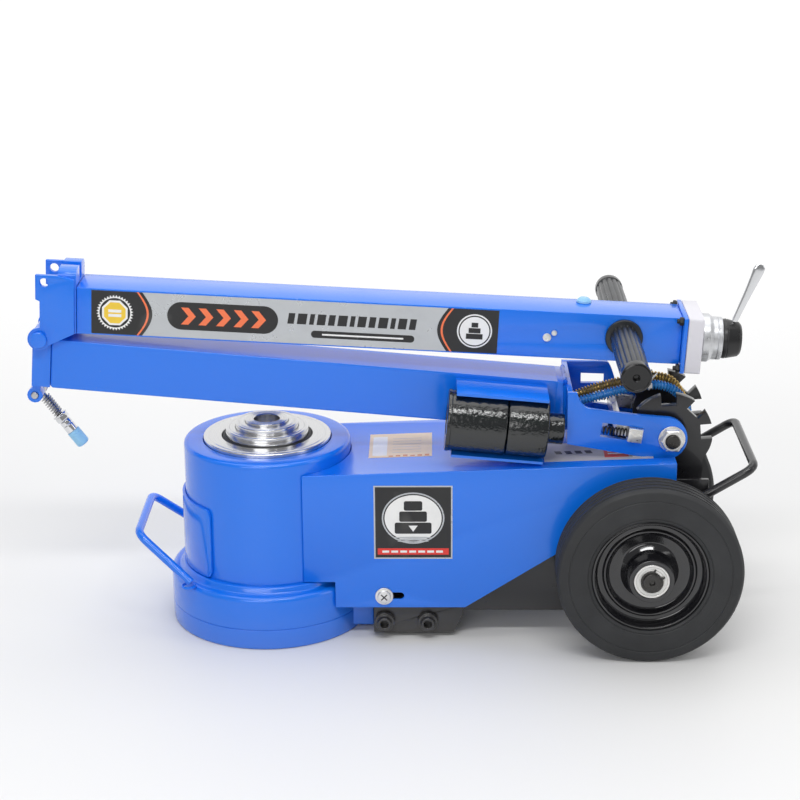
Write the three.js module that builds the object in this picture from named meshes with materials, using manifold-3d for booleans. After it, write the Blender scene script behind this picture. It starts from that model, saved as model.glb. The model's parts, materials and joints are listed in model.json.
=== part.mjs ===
// Air-hydraulic truck jack with a two-part folding handle, three telescoping rams and two wheels.
// Millimetres, +Z up. X runs from the ram to the wheels, Y to the jack's right-hand side.
// The origin is on the ground under the ram's axis.
import * as THREE from 'three';
import { mergeVertices } from 'three/addons/utils/BufferGeometryUtils.js';
import Module from 'manifold-3d';

const wasm = await Module();
wasm.setup();

// ---------------------------------------------------------------- driving dimensions
const GAP = 0.4;               // between pieces that seat on each other
const RUN = 0.3;               // radial clearance of what turns or slides

const BASE_R = 112, BASE_H = 61, BASE_FILLET = 5;
const CYL_R = 93, CYL_TOP = 209, CYL_FLOOR = 30, CYL_BORE = 71.3, CYL_CHAMFER = 4;
const GLAND_FLANGE_TOP = 213, GLAND_BOTTOM = 172, SEAL_DEPTH = 6;
const RAM1_R = 46, RAM1_TOP = 222, RAM1_FLOOR = 45;
const RAM2_R = 35, RAM2_TOP = 228;
const SADDLE_R = 24, SADDLE_TOP = 231, SADDLE_BORE = 14.5, SADDLE_BORE_DEPTH = 16;
const PISTON_H = 16, MOUTH_H = 14;

const BLOCK_X0 = BASE_R + 7, BLOCK_X1 = BLOCK_X0 + 89, BLOCK_Z0 = 5, BLOCK_HALF_W = 78;
const PLUG_XS = [BLOCK_X0 + 12, BLOCK_X0 + 60], PLUG_Z = 20, PLUG_R = 11;

const HOOD_HALF_W = 85, HOOD_T = 3, HOOD_X0 = 43, HOOD_X1 = 447;
const HOOD_Z0 = 193.3, HOOD_Z1 = 207.4, HOOD_BOTTOM = 38.5, HOOD_STEP_Z = BASE_H + 8;
const HOOD_STEP_X = Math.sqrt(BASE_R ** 2 - (HOOD_HALF_W - HOOD_T) ** 2) + 1;
const HOOD_KNEE_X = BLOCK_X1 + 12, HOOD_REAR_BOTTOM = 184, HOOD_CUT_X = 384, HOOD_CUT_HALF_W = 64;
const SLOT_X0 = 267, SLOT_X1 = 302, SLOT_Y0 = -65, SLOT_Y1 = -42;

const SIDE_Y = 66, SIDE_T = 5.5, SIDE_X1 = 484, SIDE_BOTTOM = 29;

const WHEEL_X = 416.5, WHEEL_R = 100, WHEEL_W = 46, WHEEL_Y = 122, RIM_R = 62.5;
const AXLE_R = 10, AXLE_END = 158, BEARING_R = 19, BEARING_W = 12, HUB_R = 24, HUB_END = 32;

const PIVOT_X = 443.3, PIVOT_Z = 227, PIVOT_R = 9, CHEEK_R = 24, CHEEK_BACK = 7;
const CHEEK_Y = 54, CHEEK_T = 6, WEB_DX = -113.1, WEB_T = 6, WEB_Z0 = -5, WEB_Z1 = 52;
const SECTOR_Y = 37, SECTOR_T = 10, SECTOR_R = 46, SECTOR_ROOT = 33, NOTCH_W = 17;
const SECTOR_NOTCHES = [94, 46, 5];
const LOCK_SIZE = 15.4, LOCK_DX = -40, LOCK_DZ = 5.2, LOCK_TRAVEL = 28, LOCK_TILT = 8.5;

const FOLD_X = -241.5, FOLD_Z = 333, FOLD_PIN_R = 6;
const LOWER_TILT = 5.1, LOWER_W = 56, LOWER_H = 55, LOWER_TOP = -1, LOWER_U0 = 12.4;
const UPPER_TILT = 3.2, UPPER_W = 56, UPPER_H = 52, UPPER_BOTTOM = 7, UPPER_U0 = 40, UPPER_U1 = 694;
const TUBE_WALL = 4, LUG_Y = 28.4, LUG_T = 5.6;
const LATCH_DX = -5, LATCH_DZ = -68.5, LATCH_ANGLE = 54, LATCH_L = 80;

const FLANGE_T = 4.6, VALVE_BLOCK_T = 17, VALVE_PLATE = 76, VALVE_H = 62, VALVE_V = 30.5;
const VALVE_BODY_L = 24, KNOB_L = 21, KNOB_R = 22;
const GRIP_U = 632, GRIP_V = 34.5, TBAR_R = 10, TBAR_HALF = 166, GRIP_R = 16, GRIP_START = 31;

const ADAPTER_U0 = 446.5, ADAPTER_R = 33, ADAPTER_FLANGE_R = ADAPTER_R + 2.5;
const ADAPTER_LONG_L = 65, ADAPTER_SHORT_L = 44, ADAPTER_PEG_R = 16.6, ADAPTER_PEG_L = 18;
const HOLDER_T = 3, HOLDER_REACH = 54, HOLDER_BOTTOM = -78.5, HOLDER_PLAY = 0.5;
const ADAPTER_V = HOLDER_BOTTOM + HOLDER_T + HOLDER_PLAY + ADAPTER_R;

// ---------------------------------------------------------------- materials
const COLOURS = {
  blue: [0x1c66dd, 0.32, 0.1], black: [0x15161a, 0.45, 0.2], chrome: [0xd8dade, 0.16, 1],
  steel: [0xb4b6ba, 0.3, 0.9], aluminium: [0xdfe1e4, 0.4, 0.6], rubber: [0x191a1c, 0.8, 0],
  grip: [0x2c3034, 0.7, 0], zinc: [0xe2ddd0, 0.3, 0.8], hose_blue: [0x2f7fc4, 0.4, 0],
  hose_bronze: [0xa37b32, 0.4, 0.2], cap: [0x8cc4e6, 0.4, 0],
};
const material = (name) => {
  const [color, roughness, metalness] = COLOURS[name];
  return new THREE.MeshStandardMaterial({ color, roughness, metalness });
};

// ---------------------------------------------------------------- solids
const rad = THREE.MathUtils.degToRad;

// A closed geometry as a manifold solid, and back.
function solid(geometry) {
  let g = geometry.clone();
  g.deleteAttribute('normal');
  if (g.attributes.uv) g.deleteAttribute('uv');
  g = mergeVertices(g, 1e-4);
  const mesh = new wasm.Mesh({
    numProp: 3, vertProperties: new Float32Array(g.attributes.position.array),
    triVerts: new Uint32Array(g.index.array),
  });
  return new wasm.Manifold(mesh);
}
function geometryOf(manifold) {
  const m = manifold.getMesh();
  const g = new THREE.BufferGeometry();
  g.setAttribute('position', new THREE.BufferAttribute(new Float32Array(m.vertProperties), 3));
  g.setIndex(new THREE.BufferAttribute(new Uint32Array(m.triVerts), 1));
  g.computeVertexNormals();
  return g;
}
const join = (...parts) => parts.reduce((a, b) => a.add(b));
const cut = (body, ...tools) => tools.reduce((a, b) => a.subtract(b), body);

// Box between two corners.
function box(x0, x1, y0, y1, z0, z1) {
  const g = new THREE.BoxGeometry(x1 - x0, y1 - y0, z1 - z0);
  return solid(g.translate((x0 + x1) / 2, (y0 + y1) / 2, (z0 + z1) / 2));
}
// Round bar from a to b along one axis, centred on the other two coordinates.
function barY(r, y0, y1, x, z, n = 18) {
  return solid(new THREE.CylinderGeometry(r, r, y1 - y0, n).translate(x, (y0 + y1) / 2, z));
}
function barZ(r, z0, z1, x, y, n = 18) {
  const g = new THREE.CylinderGeometry(r, r, z1 - z0, n).rotateX(Math.PI / 2);
  return solid(g.translate(x, y, (z0 + z1) / 2));
}
function barX(r, x0, x1, y, z, n = 18, r1 = r) {
  const g = new THREE.CylinderGeometry(r1, r, x1 - x0, n).rotateZ(-Math.PI / 2);
  return solid(g.translate((x0 + x1) / 2, y, z));
}
// A closed profile of [radius, height] pairs turned about Z, or about Y or X.
function lathe(points, n = 40) {
  const ring = points.map(([r, h]) => new THREE.Vector2(r, h));
  if (points[0][0] !== 0) ring.push(ring[0].clone());
  let area = 0;
  ring.forEach((p, i) => {
    const q = ring[(i + 1) % ring.length];
    area += p.x * q.y - q.x * p.y;
  });
  if (area < 0) ring.reverse();
  return new THREE.LatheGeometry(ring, n);
}
const latheZ = (points, n) => solid(lathe(points, n).rotateX(Math.PI / 2));
const latheY = (points, n) => solid(lathe(points, n));
const latheX = (points, n) => solid(lathe(points, n).rotateZ(-Math.PI / 2));
// An outline of [x, z] pairs, or a THREE.Shape, made into a plate from y0 to y1.
function plateY(outline, y0, y1, curveSegments = 8) {
  const shape = Array.isArray(outline)
    ? new THREE.Shape(outline.map(([x, z]) => new THREE.Vector2(x, z))) : outline;
  const g = new THREE.ExtrudeGeometry(shape, { depth: y1 - y0, bevelEnabled: false, curveSegments });
  return solid(g.rotateX(Math.PI / 2).translate(0, y1, 0));
}
// A round rod along a path with rounded corners.
function rod(points, r, cornerR, sides = 8, steps = 26) {
  const path = new THREE.CurvePath();
  const corners = points.map((p) => new THREE.Vector3(...p));
  let from = corners[0];
  for (let i = 1; i < corners.length - 1; i += 1) {
    const before = corners[i].clone().lerp(corners[i - 1], cornerR / corners[i].distanceTo(corners[i - 1]));
    const after = corners[i].clone().lerp(corners[i + 1], cornerR / corners[i].distanceTo(corners[i + 1]));
    path.add(new THREE.LineCurve3(from, before));
    path.add(new THREE.QuadraticBezierCurve3(before, corners[i], after));
    from = after;
  }
  path.add(new THREE.LineCurve3(from, corners[corners.length - 1]));
  const even = new THREE.CatmullRomCurve3(path.getSpacedPoints(steps), false, 'centripetal');
  return tube(even, r, steps, sides);
}
function tube(curve, r, steps, sides) {
  const ring = new THREE.Shape();
  ring.absarc(0, 0, r, 0, 2 * Math.PI, false);
  const g = new THREE.ExtrudeGeometry(ring, {
    steps, extrudePath: curve, bevelEnabled: false, curveSegments: sides / 2,
  });
  return solid(g);
}
// A compression spring along +X from the origin.
function spring(length, r, wire, turns) {
  class Helix extends THREE.Curve {
    getPoint(t, target = new THREE.Vector3()) {
      const a = 2 * Math.PI * turns * t;
      return target.set(wire + t * (length - 2 * wire), r * Math.cos(a), r * Math.sin(a));
    }
  }
  return tube(new Helix(), wire, turns * 7, 4);
}
const hexY = (r, y0, y1, x, z) => barY(r, y0, y1, x, z, 6);

const jack = new THREE.Group();
function add(group, name, manifold, look) {
  const mesh = new THREE.Mesh(geometryOf(manifold), material(look));
  mesh.name = name;
  group.add(mesh);
  return mesh;
}
const bothSides = [['left', -1], ['right', 1]];
const span = (side, near, far) => (side < 0 ? [-far, -near] : [near, far]);

// ---------------------------------------------------------------- base, cylinder and rams
const tongue = box(BASE_R - 14, BLOCK_X0 - GAP, -58, 58, BLOCK_Z0, HOOD_BOTTOM - GAP);
const baseDisc = latheZ([
  [0, 0], [BASE_R - 2, 0], [BASE_R, 2], [BASE_R, BASE_H - BASE_FILLET],
  [BASE_R - BASE_FILLET * 0.3, BASE_H - BASE_FILLET * 0.3], [BASE_R - BASE_FILLET, BASE_H],
  [CYL_R + 6, BASE_H], [CYL_R + 5, BASE_H + 6], [CYL_R + GAP, BASE_H + 7],
  [CYL_R + GAP, CYL_FLOOR - GAP], [0, CYL_FLOOR - GAP],
], 48);
add(jack, 'base_casting', join(baseDisc, tongue), 'blue');

add(jack, 'cylinder_tube', latheZ([
  [0, CYL_FLOOR], [CYL_R, CYL_FLOOR], [CYL_R, CYL_TOP - CYL_CHAMFER], [CYL_R - CYL_CHAMFER, CYL_TOP],
  [CYL_BORE, CYL_TOP], [CYL_BORE, RAM1_FLOOR - 5], [0, RAM1_FLOOR - 5],
], 48), 'blue');

const GLAND_R = CYL_BORE - GAP, GLAND_BORE = RAM1_R + RUN, SEAL_R = RAM1_R + 4;
add(jack, 'gland_ring', latheZ([
  [GLAND_BORE, GLAND_BOTTOM], [GLAND_R, GLAND_BOTTOM], [GLAND_R, GLAND_FLANGE_TOP - 1.5],
  [GLAND_R - 1.5, GLAND_FLANGE_TOP], [SEAL_R, GLAND_FLANGE_TOP],
  [SEAL_R, GLAND_FLANGE_TOP - SEAL_DEPTH], [GLAND_BORE, GLAND_FLANGE_TOP - SEAL_DEPTH],
], 48), 'chrome');
const SEAL_BOTTOM = GLAND_FLANGE_TOP - SEAL_DEPTH + GAP;
add(jack, 'wiper_seal', latheZ([
  [GLAND_BORE, SEAL_BOTTOM], [SEAL_R - GAP, SEAL_BOTTOM], [SEAL_R - GAP, GLAND_FLANGE_TOP - 1],
  [GLAND_BORE, GLAND_FLANGE_TOP + 1],
], 40), 'rubber');

// One hollow ram: a piston head at the foot, a wide bore and a narrower mouth for the next ram.
function ram(name, r, top, foot, headR, boreR, mouthR, look) {
  add(jack, name, latheZ([
    [0, foot], [headR, foot], [headR, foot + PISTON_H], [r, foot + PISTON_H], [r, top - 2],
    [r - 2, top], [mouthR, top], [mouthR, top - MOUTH_H], [boreR, top - MOUTH_H],
    [boreR, foot + PISTON_H / 2], [0, foot + PISTON_H / 2],
  ], 28), look);
}
const RAM1_BORE = RAM2_R + 4, RAM2_FLOOR = RAM1_FLOOR + PISTON_H / 2 + 2;
const RAM2_BORE = SADDLE_R + 3.5, SADDLE_FLOOR = RAM2_FLOOR + PISTON_H / 2 + 2;
ram('ram_stage_1', RAM1_R, RAM1_TOP, RAM1_FLOOR, CYL_BORE - RUN, RAM1_BORE, RAM2_R + RUN, 'steel');
ram('ram_stage_2', RAM2_R, RAM2_TOP, RAM2_FLOOR, RAM1_BORE - RUN, RAM2_BORE, SADDLE_R + RUN, 'steel');
add(jack, 'saddle', latheZ([
  [0, SADDLE_FLOOR], [RAM2_BORE - RUN, SADDLE_FLOOR], [RAM2_BORE - RUN, SADDLE_FLOOR + PISTON_H],
  [SADDLE_R, SADDLE_FLOOR + PISTON_H], [SADDLE_R, SADDLE_TOP - 2], [SADDLE_R - 2, SADDLE_TOP],
  [SADDLE_BORE, SADDLE_TOP], [SADDLE_BORE, SADDLE_TOP - SADDLE_BORE_DEPTH],
  [0, SADDLE_TOP - SADDLE_BORE_DEPTH],
], 36), 'chrome');

// Reinforcing band: a quarter shell on the cylinder's front.
const BAND_T = 4, BAND_Z0 = BASE_H + 8, BAND_Z1 = 150;
const bandRing = latheZ([
  [CYL_R + GAP, BAND_Z0], [CYL_R + BAND_T, BAND_Z0], [CYL_R + BAND_T, BAND_Z1], [CYL_R + GAP, BAND_Z1],
], 64);
add(jack, 'cylinder_band', bandRing.intersect(box(-BASE_R, -58, -BASE_R, BASE_R, 0, CYL_TOP)), 'blue');

const FRONT_FOOT = [-82, 80, BASE_H + 5.5], FRONT_CORNER = [-141, 59, 116], FRONT_ROD_R = 4.8;
const frontPath = [
  [FRONT_FOOT[0], -FRONT_FOOT[1], FRONT_FOOT[2]], [FRONT_CORNER[0], -FRONT_CORNER[1], FRONT_CORNER[2]],
  [FRONT_CORNER[0], FRONT_CORNER[1], FRONT_CORNER[2]], FRONT_FOOT,
];
add(jack, 'front_handle', rod(frontPath, FRONT_ROD_R, 12), 'blue');

// ---------------------------------------------------------------- hood, pump and chassis
const slope = (HOOD_Z1 - HOOD_Z0) / (HOOD_X1 - HOOD_X0);
const hoodTop = (x) => HOOD_Z0 + slope * (x - HOOD_X0);
const hoodOuter = plateY([
  [HOOD_STEP_X, HOOD_BOTTOM], [HOOD_KNEE_X, HOOD_BOTTOM], [HOOD_X1, HOOD_REAR_BOTTOM],
  [HOOD_X1, HOOD_Z1], [HOOD_X0, HOOD_Z0], [HOOD_X0, HOOD_STEP_Z], [HOOD_STEP_X, HOOD_STEP_Z],
], -HOOD_HALF_W, HOOD_HALF_W);
const hoodInner = plateY([
  [HOOD_X0 - 9, 0], [HOOD_X1 + 9, 0], [HOOD_X1 + 9, hoodTop(HOOD_X1 + 9) - HOOD_T],
  [HOOD_X0 - 9, hoodTop(HOOD_X0 - 9) - HOOD_T],
], -HOOD_HALF_W + HOOD_T, HOOD_HALF_W - HOOD_T);
const SCREW_X = BLOCK_X0 + 12, SCREW_Z = 52.5, SCREW_SLOT_L = 18, SCREW_SLOT_R = 4;
const screwSlot = (y0, y1) => join(
  box(SCREW_X, SCREW_X + SCREW_SLOT_L, y0, y1, SCREW_Z - SCREW_SLOT_R, SCREW_Z + SCREW_SLOT_R),
  barY(SCREW_SLOT_R, y0, y1, SCREW_X, SCREW_Z, 12),
  barY(SCREW_SLOT_R, y0, y1, SCREW_X + SCREW_SLOT_L, SCREW_Z, 12),
);
add(jack, 'hood_cover', cut(
  hoodOuter, hoodInner, barZ(CYL_R + 0.8, 0, CYL_TOP + 9, 0, 0, 64),
  box(HOOD_CUT_X, HOOD_X1 + 9, -HOOD_CUT_HALF_W, HOOD_CUT_HALF_W, 100, CYL_TOP + 30),
  box(SLOT_X0, SLOT_X1, SLOT_Y0, SLOT_Y1, HOOD_Z0 - HOOD_T, HOOD_Z1 + HOOD_T),
  screwSlot(-HOOD_HALF_W - 1, -HOOD_HALF_W + HOOD_T + 1),
  screwSlot(HOOD_HALF_W - HOOD_T - 1, HOOD_HALF_W + 1),
), 'blue');

bothSides.forEach(([side, s]) => {
  const head = barY(10, ...span(s, HOOD_HALF_W + GAP, HOOD_HALF_W + 3), SCREW_X, SCREW_Z, 16);
  const shank = barY(SCREW_SLOT_R - GAP, ...span(s, HOOD_HALF_W - 16, HOOD_HALF_W + 1), SCREW_X, SCREW_Z, 12);
  add(jack, `hood_screw_${side}`, join(head, shank), 'steel');
});

const plugTools = PLUG_XS.map(
  (x) => barY(PLUG_R - 4, -BLOCK_HALF_W - 1, -BLOCK_HALF_W + 20, x, PLUG_Z, 14),
);
const blockBody = plateY([
  [BLOCK_X0, BLOCK_Z0], [BLOCK_X1, BLOCK_Z0], [BLOCK_X1 + 10, BLOCK_Z0 + 22],
  [BLOCK_X1 + 10, HOOD_BOTTOM - GAP], [BLOCK_X0, HOOD_BOTTOM - GAP],
], -BLOCK_HALF_W, BLOCK_HALF_W);
add(jack, 'pump_block', cut(blockBody, ...plugTools), 'black');
PLUG_XS.forEach((x, i) => {
  const stem = barY(PLUG_R - 4 - GAP, -BLOCK_HALF_W - 1, -BLOCK_HALF_W + 16, x, PLUG_Z, 14);
  const head = barY(PLUG_R, -BLOCK_HALF_W - 12, -BLOCK_HALF_W - GAP, x, PLUG_Z, 16);
  const socket = hexY(5, -BLOCK_HALF_W - 13, -BLOCK_HALF_W - 4, x, PLUG_Z);
  add(jack, `pump_plug_${['front', 'rear'][i]}`, cut(join(stem, head), socket), 'black');
});

// Air motor above the pump block, lying along X.
const MOTOR_X0 = BLOCK_X0 + 6, MOTOR_L = 96, MOTOR_R = 40, MOTOR_Z = HOOD_BOTTOM + MOTOR_R + 6;
add(jack, 'air_motor', join(
  barX(MOTOR_R, MOTOR_X0 + 8, MOTOR_X0 + MOTOR_L, 0, MOTOR_Z, 20),
  box(MOTOR_X0 + 20, MOTOR_X0 + MOTOR_L - 12, -20, 20, HOOD_BOTTOM + GAP, MOTOR_Z),
  barX(MOTOR_R + 4, MOTOR_X0 + MOTOR_L - 1, MOTOR_X0 + MOTOR_L + 10, 0, MOTOR_Z, 20),
  barX(12, MOTOR_X0 + MOTOR_L + 5, MOTOR_X0 + MOTOR_L + 26, 0, MOTOR_Z, 12),
), 'aluminium');

// Chassis sides: from the pump block back to the axle and the rear handle.
const AXLE_HOLE = AXLE_R + RUN;
const SIDE_X0 = BLOCK_X1 + 10 + GAP;
const sideOutline = [
  [SIDE_X0, SIDE_BOTTOM], [WHEEL_X - 20, SIDE_BOTTOM], [WHEEL_X + 40, SIDE_BOTTOM + 40],
  [SIDE_X1, SIDE_BOTTOM + 90], [SIDE_X1, HOOD_REAR_BOTTOM], [SIDE_X1 - 50, HOOD_REAR_BOTTOM],
  [SIDE_X0 + 90, 120], [SIDE_X0, 80],
];
bothSides.forEach(([side, s]) => {
  const plate = plateY(sideOutline, ...span(s, SIDE_Y, SIDE_Y + SIDE_T));
  const hole = barY(AXLE_HOLE, ...span(s, SIDE_Y - 1, SIDE_Y + SIDE_T + 1), WHEEL_X, WHEEL_R, 16);
  add(jack, `chassis_side_${side}`, cut(plate, hole), 'black');
});

// Sector plates carry the handle pivot and the lock notches.
const CROSS_T = 12, CROSS_TOP = WHEEL_R + AXLE_R + 3.7 + CROSS_T;
const SECTOR_FOOT = PIVOT_Z - CROSS_TOP - GAP, SECTOR_RIGHT = 36, SECTOR_LEFT = -48;
function sectorPlate(s) {
  const [y0, y1] = span(s, SECTOR_Y, SECTOR_Y + SECTOR_T);
  const shape = new THREE.Shape();
  const right = rad(-20), left = rad(143);
  shape.moveTo(SECTOR_RIGHT, -SECTOR_FOOT);
  shape.lineTo(SECTOR_RIGHT, -30);
  shape.lineTo(SECTOR_R * Math.cos(right), SECTOR_R * Math.sin(right));
  shape.absarc(0, 0, SECTOR_R, right, left, false);
  shape.lineTo(SECTOR_ROOT * Math.cos(rad(152)), SECTOR_ROOT * Math.sin(rad(152)));
  shape.absarc(0, 0, SECTOR_ROOT, rad(152), rad(212), false);
  shape.lineTo(SECTOR_LEFT, -30);
  shape.lineTo(SECTOR_LEFT, -SECTOR_FOOT);
  let plate = plateY(shape, y0, y1, 16);
  SECTOR_NOTCHES.forEach((degrees) => {
    const notch = new THREE.BoxGeometry(SECTOR_R, SECTOR_T + 2, NOTCH_W)
      .translate(SECTOR_ROOT + SECTOR_R / 2, (y0 + y1) / 2, 0).rotateY(-rad(degrees));
    plate = cut(plate, solid(notch));
  });
  return cut(plate, barY(PIVOT_R + RUN, y0 - 1, y1 + 1, 0, 0, 20));
}
const pivot = new THREE.Group();
pivot.position.set(PIVOT_X, 0, PIVOT_Z);
jack.add(pivot);
bothSides.forEach(([side, s]) => add(pivot, `sector_plate_${side}`, sectorPlate(s), 'black'));

// A cross bar ties the sector plates to the chassis sides and carries the hose block between them.
const CROSS_HALF = SIDE_Y - GAP;
const HOSE_BLOCK_TOP = PIVOT_Z - 14, HOSE_BLOCK_X = PIVOT_X + 24;
add(jack, 'sector_cross_bar', join(
  box(PIVOT_X + SECTOR_LEFT, PIVOT_X + SECTOR_RIGHT, -CROSS_HALF, CROSS_HALF,
    CROSS_TOP - CROSS_T, CROSS_TOP),
  box(HOSE_BLOCK_X - 10, HOSE_BLOCK_X + 12, -26, 26, CROSS_TOP - 1, HOSE_BLOCK_TOP),
), 'black');

const REAR_Y = SIDE_Y + SIDE_T + GAP + 5, REAR_CORNER_X = 532, REAR_CORNER_Z = 200;
const rearPath = [
  [SIDE_X1 - 22, -REAR_Y, 158], [REAR_CORNER_X, -REAR_Y, REAR_CORNER_Z],
  [REAR_CORNER_X, REAR_Y, REAR_CORNER_Z], [SIDE_X1 - 22, REAR_Y, 158],
];
add(jack, 'rear_handle', rod(rearPath, 5, 12), 'black');

// ---------------------------------------------------------------- wheels
add(jack, 'axle', barY(AXLE_R, -AXLE_END, AXLE_END, WHEEL_X, WHEEL_R, 20), 'steel');
const TYRE_BEAD = 14, TYRE_HALF = WHEEL_W / 2;
const tyreSide = (k) => [
  [WHEEL_R, k * (TYRE_HALF - 8)], [WHEEL_R - 4, k * (TYRE_HALF - 3)], [WHEEL_R - 14, k * TYRE_HALF],
  [RIM_R + TYRE_BEAD, k * (TYRE_HALF - 1)], [RIM_R + GAP, k * (TYRE_HALF - 5)],
];
const tyreProfile = [...tyreSide(-1).reverse(), ...tyreSide(1)];
// The rim is one turned dish: outer barrel, disc and hub. Its outside face is towards +height.
const BEARING_SEAT = HUB_END - BEARING_W;
const rimProfile = [
  [AXLE_R + 3, -20], [HUB_R, -20], [HUB_R, 0], [50, 4], [RIM_R - 4, 0], [RIM_R - 4, -18],
  [RIM_R, -18], [RIM_R, 18], [RIM_R - 4, 18], [RIM_R - 6, 8], [48, 9], [HUB_R, 5], [HUB_R, HUB_END],
  [BEARING_R + GAP, HUB_END], [BEARING_R + GAP, BEARING_SEAT - GAP], [AXLE_R + 3, BEARING_SEAT - GAP],
];
bothSides.forEach(([side, s]) => {
  const wheel = new THREE.Group();
  wheel.position.set(WHEEL_X, s * WHEEL_Y, WHEEL_R);
  wheel.rotation.x = s < 0 ? Math.PI : 0;
  jack.add(wheel);
  add(wheel, `tyre_${side}`, latheY(tyreProfile, 40), 'rubber');
  add(wheel, `rim_${side}`, latheY(rimProfile, 20), 'black');
  add(wheel, `wheel_bearing_${side}`, latheY([
    [AXLE_R + RUN, BEARING_SEAT], [BEARING_R, BEARING_SEAT], [BEARING_R, HUB_END],
    [BEARING_R - 3, HUB_END], [BEARING_R - 4, HUB_END - 1], [AXLE_R + 3, HUB_END - 1],
    [AXLE_R + 2, HUB_END], [AXLE_R + RUN, HUB_END],
  ], 20), 'chrome');
});

// ---------------------------------------------------------------- lower handle and fork
// The lower arm's frame starts at the fold pin and points down the arm.
const lower = new THREE.Group();
lower.position.set(FOLD_X, 0, FOLD_Z);
lower.rotation.y = rad(LOWER_TILT);
jack.add(lower);
const WEB_X = PIVOT_X + WEB_DX;
const armEnd = (WEB_X - 1.5 - FOLD_X) / Math.cos(rad(LOWER_TILT)) - LOWER_H * Math.tan(rad(LOWER_TILT));
const halfW = LOWER_W / 2;
const lowerTube = cut(
  box(LOWER_U0, armEnd, -halfW, halfW, LOWER_TOP - LOWER_H, LOWER_TOP),
  box(LOWER_U0 - 1, armEnd + 1, -halfW + TUBE_WALL, halfW - TUBE_WALL,
    LOWER_TOP - LOWER_H + TUBE_WALL, LOWER_TOP - TUBE_WALL),
);
add(lower, 'lower_arm', lowerTube, 'blue');

// Hinge leaf: closes the arm's end, wraps the fold pin and carries the latch's two knuckles.
const KNUCKLE_R = 10.5, LEAF_HALF = halfW - 0.6, LATCH_KNUCKLE_R = 8.5, EYE_HALF = 6;
const leafPlate = join(
  box(-8, 3, -LEAF_HALF, LEAF_HALF, LATCH_DZ + LATCH_KNUCKLE_R + 4, 0),
  box(-1, LOWER_U0 - GAP, -LEAF_HALF, LEAF_HALF, LOWER_TOP - LOWER_H, LOWER_TOP - 2),
  barY(KNUCKLE_R, -LEAF_HALF, LEAF_HALF, 0, 0, 20),
);
const leafLatch = bothSides.map(([, s]) => join(
  barY(LATCH_KNUCKLE_R, ...span(s, EYE_HALF + 1.2, 22), LATCH_DX, LATCH_DZ, 16),
  box(LATCH_DX - 3, LATCH_DX + 6, ...span(s, EYE_HALF + 1.2, 22), LATCH_DZ, LATCH_DZ + 16),
));
const eyeRoom = box(-30, LOWER_U0 - 10, -EYE_HALF - 1.2, EYE_HALF + 1.2, LATCH_DZ - 12, LATCH_DZ + 12);
add(lower, 'hinge_leaf', cut(
  join(leafPlate, ...leafLatch), eyeRoom, barY(FOLD_PIN_R + RUN, -30, 30, 0, 0, 20),
  barY(4 + RUN, -30, 30, LATCH_DX, LATCH_DZ, 14),
), 'blue');
add(lower, 'fold_pin', join(
  barY(FOLD_PIN_R, -LUG_Y - LUG_T - 4, LUG_Y + LUG_T + 4, 0, 0, 20),
  barY(9, -LUG_Y - LUG_T - 6, -LUG_Y - LUG_T - GAP, 0, 0, 16),
), 'steel');
add(lower, 'latch_pin', barY(4, -24, 24, LATCH_DX, LATCH_DZ, 14), 'steel');

// Fork: two cheeks and a web, drawn about the pivot.
function cheekShape(tall) {
  const shape = new THREE.Shape();
  shape.moveTo(WEB_DX, WEB_Z0 - 1);
  shape.lineTo(-36, -20);
  shape.absarc(-CHEEK_BACK, 0, CHEEK_R, rad(-100), rad(84), false);
  shape.lineTo(-40, 27);
  shape.lineTo(tall ? -52 : -84, tall ? 29 : 33);
  if (tall) shape.quadraticCurveTo(-58, WEB_Z1 - 1, -62, WEB_Z1 - 1);
  else shape.quadraticCurveTo(-99, 34, -103, WEB_Z1);
  shape.lineTo(WEB_DX, WEB_Z1);
  if (tall) {
    const gap = new THREE.Path([[-91, 26], [-65, 26], [-65, 37], [-91, 38]]
      .map(([x, z]) => new THREE.Vector2(x, z)));
    shape.holes.push(gap);
  }
  return shape;
}
const lockAxis = new THREE.Vector2(-Math.cos(rad(LOCK_TILT)), Math.sin(rad(LOCK_TILT)));
// A box centred on the lock's line: from u0 to u1 away from the lock's own centre.
function lockBox(u0, u1, y0, y1, height) {
  const g = new THREE.BoxGeometry(u1 - u0, y1 - y0, height).translate(-(u0 + u1) / 2, (y0 + y1) / 2, 0);
  return solid(g.rotateY(rad(LOCK_TILT)).translate(LOCK_DX, 0, LOCK_DZ));
}
const LOCK_HALF = LOCK_SIZE / 2, SLOT_H = LOCK_SIZE + 2 * RUN;
bothSides.forEach(([side, s]) => {
  const [y0, y1] = span(s, CHEEK_Y, CHEEK_Y + CHEEK_T);
  const cheek = plateY(cheekShape(s > 0), y0, y1, 12);
  const slot = lockBox(-LOCK_HALF - RUN, LOCK_HALF + LOCK_TRAVEL + 1, y0 - 1, y1 + 1, SLOT_H);
  add(pivot, `fork_cheek_${side}`, cut(cheek, slot, barY(PIVOT_R + RUN, y0 - 1, y1 + 1, 0, 0, 20)), 'blue');
});
add(pivot, 'fork_web', cut(
  box(WEB_DX, WEB_DX + WEB_T, -CHEEK_Y + GAP, CHEEK_Y - GAP, WEB_Z0, WEB_Z1),
  box(WEB_DX - 1, WEB_DX + WEB_T + 1, -18, 18, 13, 39),
), 'blue');
add(pivot, 'pivot_bolt', join(
  barY(PIVOT_R, -CHEEK_Y - CHEEK_T - 12, CHEEK_Y + CHEEK_T + 4, 0, 0, 20),
  hexY(13, CHEEK_Y + CHEEK_T + GAP, CHEEK_Y + CHEEK_T + 9, 0, 0),
), 'steel');
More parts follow.
